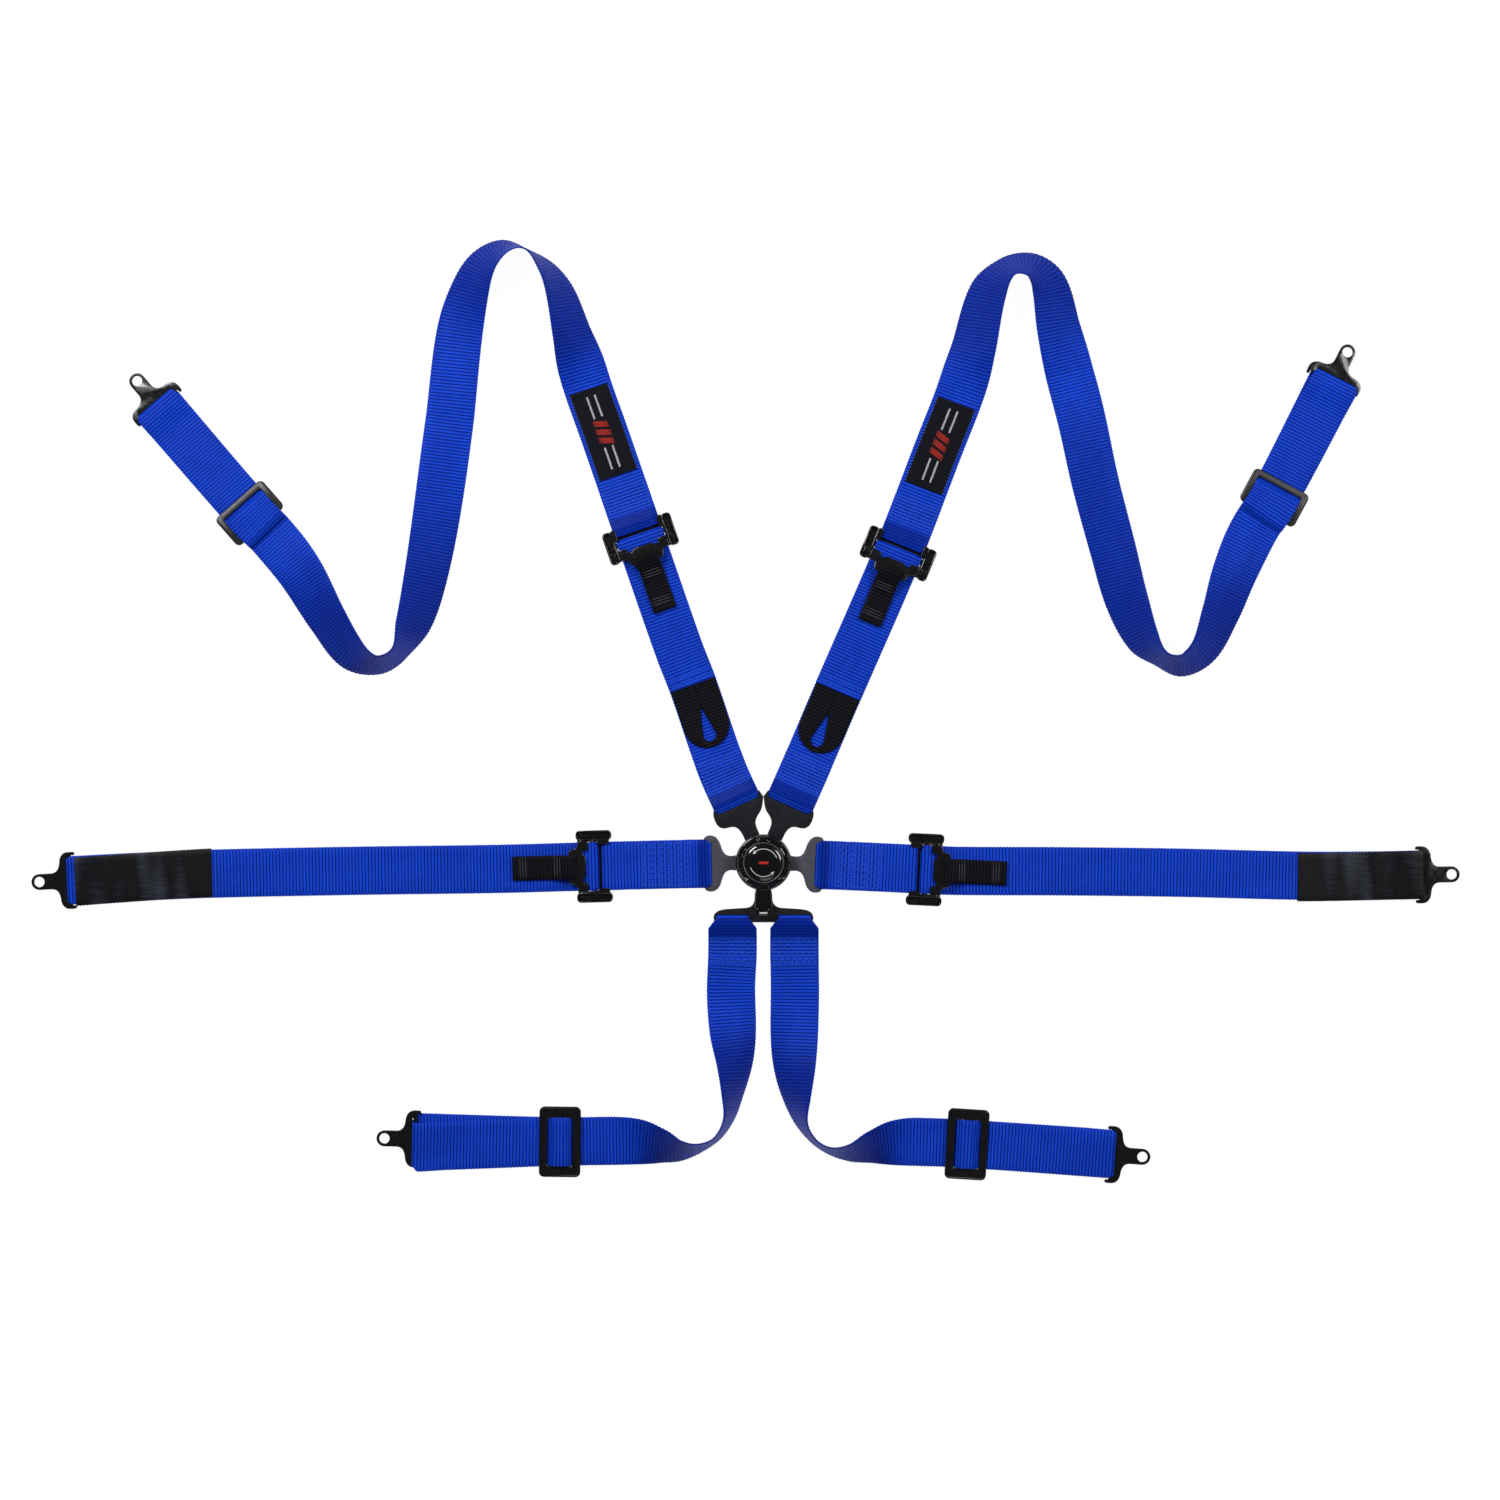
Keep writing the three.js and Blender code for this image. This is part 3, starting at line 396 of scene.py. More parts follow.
def thread(name, band, segments, node, paint, side=1, lift=0.12, radius=0.52):
    """Stitches: each segment (length, across)-(length, across) becomes a short bead, a six-sided ring swept
    along it, its radius and height following the root of half a sine, so its ends dive into the cloth."""
    seg = np.array(segments, float)
    t = np.linspace(0, 1, 5)[None, :, None]
    ring = np.linspace(0, 2 * math.pi, 6, endpoint=False)[None, None]
    start, end = seg[:, None, None, :2], seg[:, None, None, 2:]
    way = end - start
    middle = [start[..., k] + way[..., k] * t for k in range(2)]
    size = np.hypot(way[..., 0], way[..., 1])
    swell = np.sqrt(np.sin(np.pi * (0.04 + 0.92 * t)))
    sideways = radius * swell * np.cos(ring)
    run = middle[0] - sideways * way[..., 1] / size
    w = middle[1] + sideways * way[..., 0] / size
    n = side * (band.thick / 2 + lift + 0.25 * (swell - 1) + radius * swell * np.sin(ring))
    points = band.surface(run, w, n)
    count, rings, sides = points.shape[:3]
    base = (np.arange(count)[:, None, None] * rings + np.arange(rings - 1)[None, :, None]) * sides
    a = base + np.arange(sides)[None, None]
    b = base + (np.arange(sides)[None, None] + 1) % sides
    quads = np.stack([a, a + sides, b + sides, b], axis=-1).reshape(-1, 4)
    first = np.arange(count)[:, None] * rings * sides
    ends = np.concatenate([first + np.arange(sides), first + (rings - 1) * sides + np.arange(sides)[::-1]])
    mesh = bpy.data.meshes.new(name)
    mesh.from_pydata((points.reshape(-1, 3) * MM).tolist(), [], quads.tolist() + ends.tolist())
    mesh.polygons.foreach_set("use_smooth", np.ones(len(mesh.polygons), bool))
    clean_mesh(mesh)
    return side_part(new_object(name, mesh), node, paint)


def line_of_stitches(run0, w0, run1, w1, pitch=3.6, fill=0.78):
    """Segments of a straight line of stitches: even steps of about a pitch, each stitch filling a share."""
    count = max(1, round(math.hypot(run1 - run0, w1 - w0) / pitch))
    t = np.arange(count) / count
    ends = [(run0 + (run1 - run0) * at, w0 + (w1 - w0) * at) for at in (t, t + fill / count)]
    return np.stack([*ends[0], *ends[1]], axis=1).tolist()


def cross_stitches(*runs):
    """A line of stitches across the strap at each length."""
    return [row for run in runs for row in line_of_stitches(run, -HEM_HALF, run, HEM_HALF)]


def zigzag_box(run0, run1, rows=9, half=22, columns=14):
    """A box of stitching: a border, and zigzag rows across the strap inside it, their stitches swinging to
    one side of the row and then the other."""
    out = []
    for w in (-half, half):
        out += line_of_stitches(run0, w, run1, w)
    for run in (run0, run1):
        out += line_of_stitches(run, -half, run, half)
    swing = (run1 - run0) / (rows + 1)
    for row in range(1, rows + 1):
        middle = run0 + row * swing
        for column in range(columns):
            w0 = -half + 2 * half * column / columns
            w1 = -half + 2 * half * (column + 0.92) / columns
            turn = 1 if (column + row) % 2 else -1
            out.append([middle - 0.32 * swing * turn, w0, middle + 0.32 * swing * turn, w1])
    return out


# ================= finishes =================
class Nodes:
    """A material under construction."""

    def __init__(self, name, roughness, metallic=0.0, coat=0.0, sheen=0.0, specular=0.5, tint=(1, 1, 1)):
        self.material = bpy.data.materials.new(name)
        self.material.use_nodes = True
        self.tree = self.material.node_tree
        self.shader = self.tree.nodes["Principled BSDF"]
        self.put("Roughness", roughness)
        self.put("Metallic", metallic)
        self.put("Specular IOR Level", specular)
        if coat:
            self.put("Coat Weight", coat)
            self.put("Coat Roughness", 0.06)
        if sheen:
            self.put("Sheen Weight", sheen)
            self.put("Sheen Roughness", 0.45)
            self.put("Sheen Tint", (*tint, 1))

    def put(self, socket, value):
        self.shader.inputs[socket].default_value = value

    def link(self, source, socket):
        self.tree.links.new(source, self.shader.inputs[socket])

    def make(self, kind, inputs=(), **settings):
        """A node of a kind with its settings, its inputs each a number, a colour or another node's output."""
        node = self.tree.nodes.new("ShaderNode" + kind)
        for key, value in settings.items():
            setattr(node, key, value)
        for socket, value in dict(inputs).items():
            if isinstance(value, bpy.types.NodeSocket):
                self.tree.links.new(value, node.inputs[socket])
            else:
                node.inputs[socket].default_value = value
        return node

    def math(self, operation, a, b=0.0):
        return self.make("Math", {0: a, 1: b}, operation=operation).outputs[0]

    def mix(self, factor, a, b):
        """Colour a turning into colour b as the factor goes from nought to one."""
        first, second = ((*c, 1) if isinstance(c, tuple) else c for c in (a, b))
        return self.make("Mix", {"Factor": factor, 6: first, 7: second}, data_type="RGBA").outputs[2]

    def noise(self, vector, scale, detail=3.0, roughness=0.6):
        inputs = {"Vector": vector, "Scale": scale, "Detail": detail, "Roughness": roughness}
        return self.make("TexNoise", inputs).outputs["Fac"]

    def stretch(self, vector, scale):
        return self.make("Mapping", {"Vector": vector, "Scale": scale}).outputs["Vector"]

    def between(self, value, low, high, out_low, out_high):
        """A value's place between low and high, carried over to the same place between two new ends."""
        return self.make("MapRange", {0: value, 1: low, 2: high, 3: out_low, 4: out_high}).outputs[0]

    def bump(self, height, strength, distance):
        node = self.make("Bump", {"Height": height, "Strength": strength, "Distance": distance})
        self.link(node.outputs["Normal"], "Normal")

    def uv(self):
        return self.make("UVMap", uv_map="cloth").outputs["UV"]

    def attribute(self, name):
        return self.make("Attribute", attribute_name=name).outputs["Fac"]

    def object_place(self):
        return self.make("TexCoord").outputs["Object"]


def web_paint(name, crest, groove, satin, tint, roughness=0.55, specular=0.08):
    """Ribbed webbing: crest colour on each rib and a darker groove colour between, painted shade in the rib
    hollows, a fine warp across each rib, slow random tone that stands for uneven dyeing and for broad painted
    sheen, a satin colour where the ribs are pulled flat, and painted shade, the groove colour again, where
    the strap is tilted."""
    m = Nodes(name, roughness, sheen=0.03, specular=specular, tint=tint)
    uv = m.uv()
    across, along, _ = m.make("SeparateXYZ", {0: uv}).outputs
    wave = m.math("COSINE", m.math("MULTIPLY", along, 2 * math.pi / (RIB_PITCH * MM)))
    # Painted shade: the colour falls from the crest colour to the darker groove colour in the hollows between
    # the ribs.
    rib = m.between(wave, -1.0, 0.35, 0, 1)
    warp = m.math("COSINE", m.math("MULTIPLY", across, 2 * math.pi / (WARP_PITCH * MM)))
    # Slow random tone: part uneven dyeing, part broad painted sheen, lighter and darker patches laid into the
    # colour.
    dye_and_sheen = m.noise(m.stretch(uv, (30, 9, 1)), 1.0)
    speck = m.noise(m.stretch(uv, (900, 500, 1)), 1.0, 2.0)
    level = m.math("MULTIPLY", rib, m.between(dye_and_sheen, 0.3, 0.7, 0.72, 1.14))
    level = m.math("ADD", level, m.between(speck, 0.35, 0.65, -0.12, 0.12))
    level = m.math("ADD", level, m.math("MULTIPLY", warp, 0.06))
    flat = m.attribute("smoothness")
    color = m.mix(flat, m.mix(level, groove, crest), satin)
    # Painted shade on tilted bends: the colour goes towards the groove colour as the turned attribute grows.
    m.link(m.mix(m.attribute("turned"), color, groove), "Base Color")
    m.link(m.between(flat, 0.0, 1.0, specular, 0.04), "Specular IOR Level")
    rough = m.between(speck, 0.3, 0.7, roughness - 0.08, roughness + 0.08)
    m.link(m.math("SUBTRACT", rough, m.math("MULTIPLY", flat, 0.2)), "Roughness")
    m.bump(m.math("ADD", m.math("MULTIPLY", warp, 0.5), m.math("MULTIPLY", speck, 0.9)), 0.35, 0.00012)
    return m.material


def metal_paint(name, color, roughness, metallic, coat=0.0, grain=(60, 60, 60), wear=0.25):
    """Finished steel: orange-peel or grain in its roughness and bump, and faint rubbed patches."""
    m = Nodes(name, roughness, metallic, coat=coat)
    place = m.object_place()
    grain_at = m.noise(m.stretch(place, grain), 4.0, 4.0)
    rub = m.noise(place, 55.0, 5.0, 0.7)
    lighter = tuple(min(1.0, c * 2.2 + 0.012) for c in color)
    m.link(m.mix(m.between(rub, 0.55, 0.8, 0, wear), color, lighter), "Base Color")
    m.link(m.between(grain_at, 0.3, 0.7, max(0.03, roughness - 0.07), roughness + 0.09), "Roughness")
    m.bump(grain_at, 0.05, 0.0002)
    return m.material


def satin_paint(name):
    """Smooth black tape with broad soft sheens painted across it as lighter colour, their edges broken into
    fine streaks.
    """
    m = Nodes(name, 0.4, specular=0.25)
    uv = m.uv()
    streak = m.noise(m.stretch(uv, (420, 45, 1)), 1.0, 3.0)
    swell = m.noise(m.stretch(uv, (5, 26, 1)), 1.0, 1.0)
    level = m.math("ADD", swell, m.math("MULTIPLY", streak, 0.22))
    # Painted highlight: where the broad swell noise is high the tape's colour rises from dark to light, a
    # sheen painted into the colour, its edges broken by the streaks.
    dark, light = (0.003, 0.003, 0.005), (0.038, 0.042, 0.058)
    m.link(m.mix(m.between(level, 0.6, 0.74, 0, 1), dark, light), "Base Color")
    m.link(m.between(level, 0.5, 0.7, 0.5, 0.32), "Roughness")
    m.bump(m.noise(m.stretch(uv, (700, 120, 1)), 1.0), 0.2, 0.0002)
    return m.material


def patch_paint(name):
    """Close satin weave for the sewn labels."""
    m = Nodes(name, 0.6, specular=0.12)
    uv = m.uv()
    weave = m.noise(m.stretch(uv, (2400, 900, 1)), 1.0, 2.0)
    m.link(m.mix(weave, (0.001, 0.001, 0.003), (0.006, 0.007, 0.014)), "Base Color")
    m.bump(weave, 0.3, 0.0001)
    return m.material


def thread_paint(name, color):
    """Twisted thread: its colour, speckled with a darker one."""
    m = Nodes(name, 0.5, specular=0.3)
    twist = m.noise(m.object_place(), 900.0, 2.0)
    m.link(m.mix(twist, tuple(0.6 * c for c in color), color), "Base Color")
    return m.material


# The groove colours below are painted shade, used in the rib hollows and on tilted bends.
BLUE = web_paint(
    "blue_webbing", crest=(0.008, 0.078, 0.84), groove=(0.001, 0.010, 0.20), satin=(0.001, 0.014, 0.24),
    tint=(0.1, 0.25, 1.0),
)
BLACK_WEB = web_paint(
    "black_webbing", crest=(0.009, 0.009, 0.014), groove=(0.0005, 0.0005, 0.001), satin=(0.006, 0.006, 0.008),
    tint=(0.6, 0.6, 0.7),
)
SATIN = satin_paint("satin_tape")
PATCH = patch_paint("woven_patch")
BLUE_THREAD = thread_paint("blue_thread", (0.03, 0.13, 0.95))
PALE_THREAD = thread_paint("pale_blue_thread", (0.10, 0.20, 0.95))
BLACK_THREAD = thread_paint("black_thread", (0.13, 0.13, 0.15))
WHITE_THREAD = thread_paint("white_thread", (0.75, 0.75, 0.78))
RED_THREAD = thread_paint("red_thread", (0.5, 0.03, 0.02))
ENAMEL = metal_paint("black_enamel", (0.006, 0.006, 0.007), 0.2, 0.0, coat=0.6, wear=0.06)
GUNMETAL = metal_paint("satin_gunmetal", (0.12, 0.122, 0.15), 0.33, 0.4, grain=(20, 160, 60), wear=0.12)
GRAPHITE = metal_paint("satin_graphite", (0.02, 0.021, 0.027), 0.3, 0.3, coat=0.3, wear=0.03)
SLIDER_STEEL = metal_paint("dark_plated_steel", (0.030, 0.029, 0.031), 0.36, 0.2, wear=0.12)
BARE_STEEL = metal_paint("bare_steel", (0.42, 0.42, 0.44), 0.3, 1.0, grain=(120, 120, 20))
GLOSS = metal_paint("gloss_black", (0.004, 0.004, 0.005), 0.12, 0.0, coat=1.0, wear=0.05)
MARK_WHITE = metal_paint("white_mark", (0.7, 0.7, 0.72), 0.4, 0.0, wear=0.1)
MARK_RED = metal_paint("red_mark", (0.55, 0.03, 0.02), 0.4, 0.0, wear=0.1)


# ================= plates =================
def outline(*moves, count=10):
    """A closed outline from moves: ("to", p), ("arc", centre, radius, start, end) in degrees, and
    ("quad", c, p) or ("cubic", c, d, p), sums of their points weighted by binomial terms of t and 1 - t."""
    points = []
    t = np.linspace(0, 1, count + 1)[1:, None]
    for move in moves:
        kind, values = move[0], move[1:]
        if kind == "to":
            points.append(np.array([values[0]], float))
        elif kind == "arc":
            (cx, cy), radius, start, end = values
            angle = np.radians(np.linspace(start, end, count + 2))
            points.append(np.stack([cx + radius * np.cos(angle), cy + radius * np.sin(angle)], axis=1))
        else:
            last = points[-1][-1]
            controls = [last, *(np.array(v, float) for v in values)]
            order = len(controls) - 1
            points.append(sum(
                math.comb(order, k) * t**k * (1 - t) ** (order - k) * p for k, p in enumerate(controls)
            ))
    return np.concatenate(points)


def symmetric(*moves, middle=np.empty((0, 2)), count=10):
    """A closed outline from the moves of its half below the axis, the points that cross the axis, if any, and
    the first half mirrored and followed backwards."""
    half = outline(*moves, count=count)
    return np.concatenate([half, middle, half[::-1] * [1, -1]])


def rounded(u0, v0, u1, v1, corner):
    """A rectangle with quarter-circle corners."""
    centres = [(u1 - corner, v0 + corner), (u1 - corner, v1 - corner),
               (u0 + corner, v1 - corner), (u0 + corner, v0 + corner)]
    arcs = [("arc", centre, corner, turn, turn + 90) for centre, turn in zip(centres, (-90, 0, 90, 180))]
    return outline(*arcs, count=6)


def circle(u, v, radius, count=40):
    """Points evenly round a centre, without repeating the first."""
    angle = np.linspace(0, 2 * math.pi, count, endpoint=False)
    return np.stack([u + radius * np.cos(angle), v + radius * np.sin(angle)], axis=1)


def placed(points, place):
    """Local (u, v, z) points turned and moved to a place (x, y, turn)."""
    x, y, turn = place
    c, s = math.cos(turn), math.sin(turn)
    u, v = points[:, 0], points[:, 1]
    return np.stack([x + c * u - s * v, y + s * u + c * v, points[:, 2]], axis=1)


def plate_mesh(name, loops, low, high, edge=0.6, shape=None, place=(0, 0, 0)):
    """A plate from plan loops, the first its outline and the rest its holes, with rounded edges.
    shape, if given, moves the local points, and then the plate goes to its place."""
    curve = bpy.data.curves.new(name, "CURVE")
    curve.dimensions = "2D"
    curve.fill_mode = "BOTH"
    curve.extrude = (high - low) / 2 - edge
    curve.bevel_depth = edge
    curve.bevel_resolution = 3
    curve.offset = -edge
    for loop in loops:
        loop = loop[np.hypot(*(loop - np.roll(loop, 1, axis=0)).T) > 1e-3]
        spline = curve.splines.new("POLY")
        spline.points.add(len(loop) - 1)
        spline.points.foreach_set("co", np.column_stack([loop, 0 * loop]).ravel())
        spline.use_cyclic_u = True
    maker = new_object(name + "_maker", curve)
    bpy.context.view_layer.update()
    mesh = bpy.data.meshes.new_from_object(maker.evaluated_get(bpy.context.evaluated_depsgraph_get()))
    bpy.data.objects.remove(maker)
    bpy.data.curves.remove(curve)
    mesh.name = name
    clean_mesh(mesh, merge=1e-3)
    points = np.empty(len(mesh.vertices) * 3)
    mesh.vertices.foreach_get("co", points)
    points = points.reshape(-1, 3) + [0, 0, (low + high) / 2]
    if shape:
        points = shape(points)
    mesh.vertices.foreach_set("co", (placed(points, place) * MM).ravel())
    mesh.polygons.foreach_set("use_smooth", np.ones(len(mesh.polygons), bool))
    mesh.set_sharp_from_angle(angle=math.radians(38))
    mesh.update()
    return mesh


def lathe_mesh(name, profile, place=(0, 0, 0), count=96):
    """A closed profile of (radius, height) turned about a vertical axis."""
    p = np.array(profile, float)
    angle = np.linspace(0, 2 * math.pi, count, endpoint=False)[:, None]
    points = np.stack([p[:, 0] * np.cos(angle), p[:, 0] * np.sin(angle), 0 * angle + p[:, 1]], axis=-1)
    return turned_mesh(name, points, place)


def turned_mesh(name, points, place=(0, 0, 0)):
    """A surface closed both ways from a grid of points, angle by profile."""
    rows, ring = points.shape[:2]
    flat = placed(points.reshape(-1, 3), place)
    i, j = np.meshgrid(np.arange(rows), np.arange(ring), indexing="ij")
    a, b = i * ring + j, i * ring + (j + 1) % ring
    c, d = ((i + 1) % rows) * ring + (j + 1) % ring, ((i + 1) % rows) * ring + j
    mesh = bpy.data.meshes.new(name)
    mesh.from_pydata((flat * MM).tolist(), [], np.stack([a, b, c, d], axis=-1).reshape(-1, 4).tolist())
    clean_mesh(mesh, merge=1e-7)
    mesh.polygons.foreach_set("use_smooth", np.ones(len(mesh.polygons), bool))
    mesh.set_sharp_from_angle(angle=math.radians(35))
    return mesh


def rod_mesh(name, u, z, radius, half, place, chamfer=0.5, knurl=0.0):
    """A round bar across a place, its ends chamfered; a knurl adds eighteen ripples round it, but not at its
    ends."""
    along = np.concatenate([[-half, -half, -half + chamfer], np.linspace(-half + 2, half - 2, 60),
                            [half - chamfer, half, half]])
    size = np.concatenate([[0, radius - chamfer, radius], np.full(60, radius), [radius, radius - chamfer, 0]])
    angle = np.linspace(0, 2 * math.pi, 36, endpoint=False)[:, None]
    ripple = knurl * np.cos(18 * angle) * (np.abs(along) < half - 3)
    r = size + ripple
    points = np.stack([u + r * np.cos(angle), 0 * angle + along, z + r * np.sin(angle)], axis=-1)
    return turned_mesh(name, points, place)


def on_route(arm, s, back=False):
    """A place on an arm's route, facing along it or back."""
    x, y, hx, hy, _ = (float(v) for v in ROUTES[arm].at(s))
    return x, y, math.atan2(hy, hx) + (math.pi if back else 0)


def join_meshes(name, meshes):
    """One piece from several closed shells that are fixed to each other."""
    work = bmesh.new()
    for mesh in meshes:
        work.from_mesh(mesh)
    joined = bpy.data.meshes.new(name)
    work.to_mesh(joined)
    work.free()
    return joined


# ================= anchor plates =================
def strap_slot(low, high, middle=0.0, reach=VISIBLE_SLOT):
    """The slot that a strap goes through, rounded at its corners."""
    return rounded(low, middle - reach, high, middle + reach, 0.7)


def anchor_loops():
    """A lobed plate: a straight bar between short ears, hollow shoulders, and a round nose with an eye."""
    half, bar, ear, inside, neck, ring, eye = 29.5, -FOLD_BACK - BAR_HALF, -9.5, -25.9, 8.3, 28, 5.25
    edge = symmetric(
        ("to", (bar, inside)), ("to", (-7.5, inside)), ("quad", (ear, inside), (ear, -27.5)),
        ("quad", (ear, -half), (-6, -half)), ("to", (-3, -half)), ("quad", (4.5, -half), (6.5, -21)),
        ("cubic", (7, -12), (10, -neck), (16, -neck)),
        middle=outline(("arc", (ring, 0), neck, -90, 90)),
    )
    return [edge, circle(ring, 0, eye), strap_slot(-FOLD_BACK + BAR_HALF, -0.5)]


def make_anchor(arm):
    node = f"{arm}_anchor_plate"
    place = on_route(arm, ROUTES[arm].length)
    mesh = plate_mesh(node, anchor_loops(), ANCHOR_Z - PLATE / 2, ANCHOR_Z + PLATE / 2, 0.55, place=place)
    steel_piece(node, mesh, ENAMEL)


# ================= tongues =================
TIP_START, TIP_HALF, TIP_NARROW, TIP_FULL, FORK_HALF = 12, 8.2, 4.6, 21, 3.2


FORK = symmetric(
    ("to", (TIP_START, -TIP_NARROW)), ("to", (TIP_START, -FORK_HALF)),
    middle=outline(("arc", (PIN_RING, 0), FORK_HALF, -90, 90)),
)


def tongue_piece(node, edge, fold, slots, turn, paint):
    """A flat tongue: its outline, closed by the fork round its latch pin, and its slots past the fold."""
    low, high = TONGUE_Z - PLATE / 2, TONGUE_Z + PLATE / 2
    loops = [edge, *(strap_slot(fold + 0.5, fold + 2.3, middle, reach) for middle, reach in slots)]
    steel_piece(node, plate_mesh(node, loops, low, high, 0.7, place=(0, 0, turn)), paint)


def make_lap_tongue(side):
    """A narrow neck that flares into a wide head with rounded corners."""
    half, neck, end = 29, 7.4, LAP_FOLD + 8.5
    edge = symmetric(
        ("to", (TIP_FULL, -TIP_HALF)), ("to", (28, -TIP_HALF)), ("quad", (30, -neck), (33, -neck)),
        ("cubic", (39, -neck), (41, -10.5), (43, -16.5)), ("quad", (46, -half), (54.5, -half)),
        ("quad", (end, -half), (end, -half + 6)),
    )
    turn = LEFT_LAP_ANGLE if side == "left" else RIGHT_LAP_ANGLE
    loop = np.concatenate([edge, FORK[::-1]])
    tongue_piece(f"{side}_lap_tongue", loop, LAP_FOLD, [(0, VISIBLE_SLOT)], turn, GUNMETAL)


def make_shoulder_tongue(side):
    """A lopsided head: full and round on its outer side, cut back in a slanting flank on the inner one."""
    outer, end = 28.5, SHOULDER_FOLD + 8
    edge = outline(
        ("to", (TIP_FULL, TIP_HALF)), ("to", (34, TIP_HALF)), ("cubic", (44, 9), (46, 12), (47, 18)),
        ("quad", (48, outer), (58, outer)), ("quad", (end, outer), (end, outer - 8)), ("to", (end, -23)),
        ("quad", (end - 0.5, -26.4), (end - 4, -26.6)), ("to", (SHOULDER_FOLD - 1, -27.6)),
        ("to", (55, -23.4)), ("quad", (50, -20.5), (47, -15)),
        ("cubic", (44, -11), (42, -TIP_HALF), (34, -TIP_HALF)), ("to", (TIP_FULL, -TIP_HALF)),
    )
    sign = 1 if side == "left" else -1
    loop = np.concatenate([edge, FORK]) * [1, sign]
    turn = math.pi / 2 + sign * SHOULDER_ANGLE
    tongue_piece(f"{side}_shoulder_tongue", loop, SHOULDER_FOLD, [(0, VISIBLE_SLOT)], turn, GRAPHITE)


def make_crotch_tongue():
    """A double-width head on one neck, with a slot for each strap."""
    end, half, neck, reach = CROTCH_FOLD + 8, 51.5, 9.2, CROTCH_NARROW - 0.4
    edge = symmetric(
        ("to", (TIP_FULL, -TIP_HALF)), ("to", (29, -TIP_HALF)), ("quad", (32, -neck), (38, -neck)),
        ("quad", (46, -neck - 0.8), (47, -18)), ("to", (48.3, -half + 13)),
        ("quad", (49.5, -half), (57, -half)), ("quad", (end, -half), (end, -half + 5)),
    )
    slots = [(-CROTCH_STRAP, reach), (CROTCH_STRAP, reach)]
    loop = np.concatenate([edge, FORK[::-1]])
    tongue_piece("crotch_tongue", loop, CROTCH_FOLD, slots, -math.pi / 2, GRAPHITE)


# ================= adjusters =================
def cheek_meshes(name, side, place, back):
    """A pressed side cheek: a tray with a floor and a rolled rim, a round pin boss and a short raised bar."""
    v0, v1 = sorted((CHEEK_IN * side, CHEEK_OUT * side))
    wall, front, v = 1.9, CHEEK_HALF - 1, (v0 + v1) / 2
    rim = [rounded(-back, v0, front, v1, 4.2), rounded(-back + wall, v0 + wall, front - wall, v1 - wall, 2.4)]
    floor = [rounded(-back + 1, v0 + 1, front - 1, v1 - 1, 3)]
    boss = [(0, 6), (3.1, 6), (3.1, 8.2), (2.6, 8.8), (0, 9.2)]

    def dip(points):
        """The rim's top falls with the cube of the distance from the middle."""
        fall = 2.2 * (np.abs(points[:, 0]) / CHEEK_HALF) ** 3
        points[:, 2] -= fall * (points[:, 2] > 5)
        return points

    return [
        plate_mesh(name, rim, 1.9, 11.3, 0.8, dip, place),
        plate_mesh(name, floor, 2.6, 6.6, 0.3, None, place),
        lathe_mesh(name, boss, local_spot(place, -2.5, v), 32),
        plate_mesh(name, [rounded(5.5, v - 2.2, 13.5, v + 2.2, 1.2)], 6, 8.6, 0.5, None, place),
    ]


def local_spot(place, u, v):
    """A place of its own for a round piece at (u, v) of another place."""
    x, y, _ = placed(np.array([[u, v, 0.0]]), place)[0]
    return x, y, 0


def make_frame(arm, place):
    """The adjuster's frame: two cheeks with a lip below and a flange above each, a low black plate between
    them that shows in the gap between the two folds, and the sewn bar and the far bar across."""
    node = f"{arm}_adjuster_frame"
    back = 16.5 if arm.endswith("shoulder") else CHEEK_HALF
    across = CHEEK_IN + 1
    strips = [
        (-10, 25.5, 13, 28, 0.6, 0.3, 1.3, 0.2),
        (-16.5, 22.6, -4.2, 28, 1.6, 9.75, 11.1, 0.5),
    ]
    shells = []
    for side in (-1, 1):
        shells += cheek_meshes(node, side, place, back)
        for u0, inner, u1, outer, corner, low, high, edge in strips:
            v0, v1 = sorted((inner * side, outer * side))
            shells.append(plate_mesh(node, [rounded(u0, v0, u1, v1, corner)], low, high, edge, None, place))
    shells += [
        # A low black plate that shows in the gap between the two folds and keeps it dark there.
        plate_mesh(node, [rounded(-9.3, -across, -4.4, across, 0.5)], 0.5, 2.6, 0.4, None, place),
        rod_mesh(node, SEWN_BAR_U, BAR_Z, SEWN_BAR_RADIUS, CHEEK_IN + 2, place),
        rod_mesh(node, FAR_BAR_U, FAR_BAR_Z, FAR_BAR_RADIUS, CHEEK_IN + 2, place),
    ]
    steel_piece(node, join_meshes(node, shells), ENAMEL)


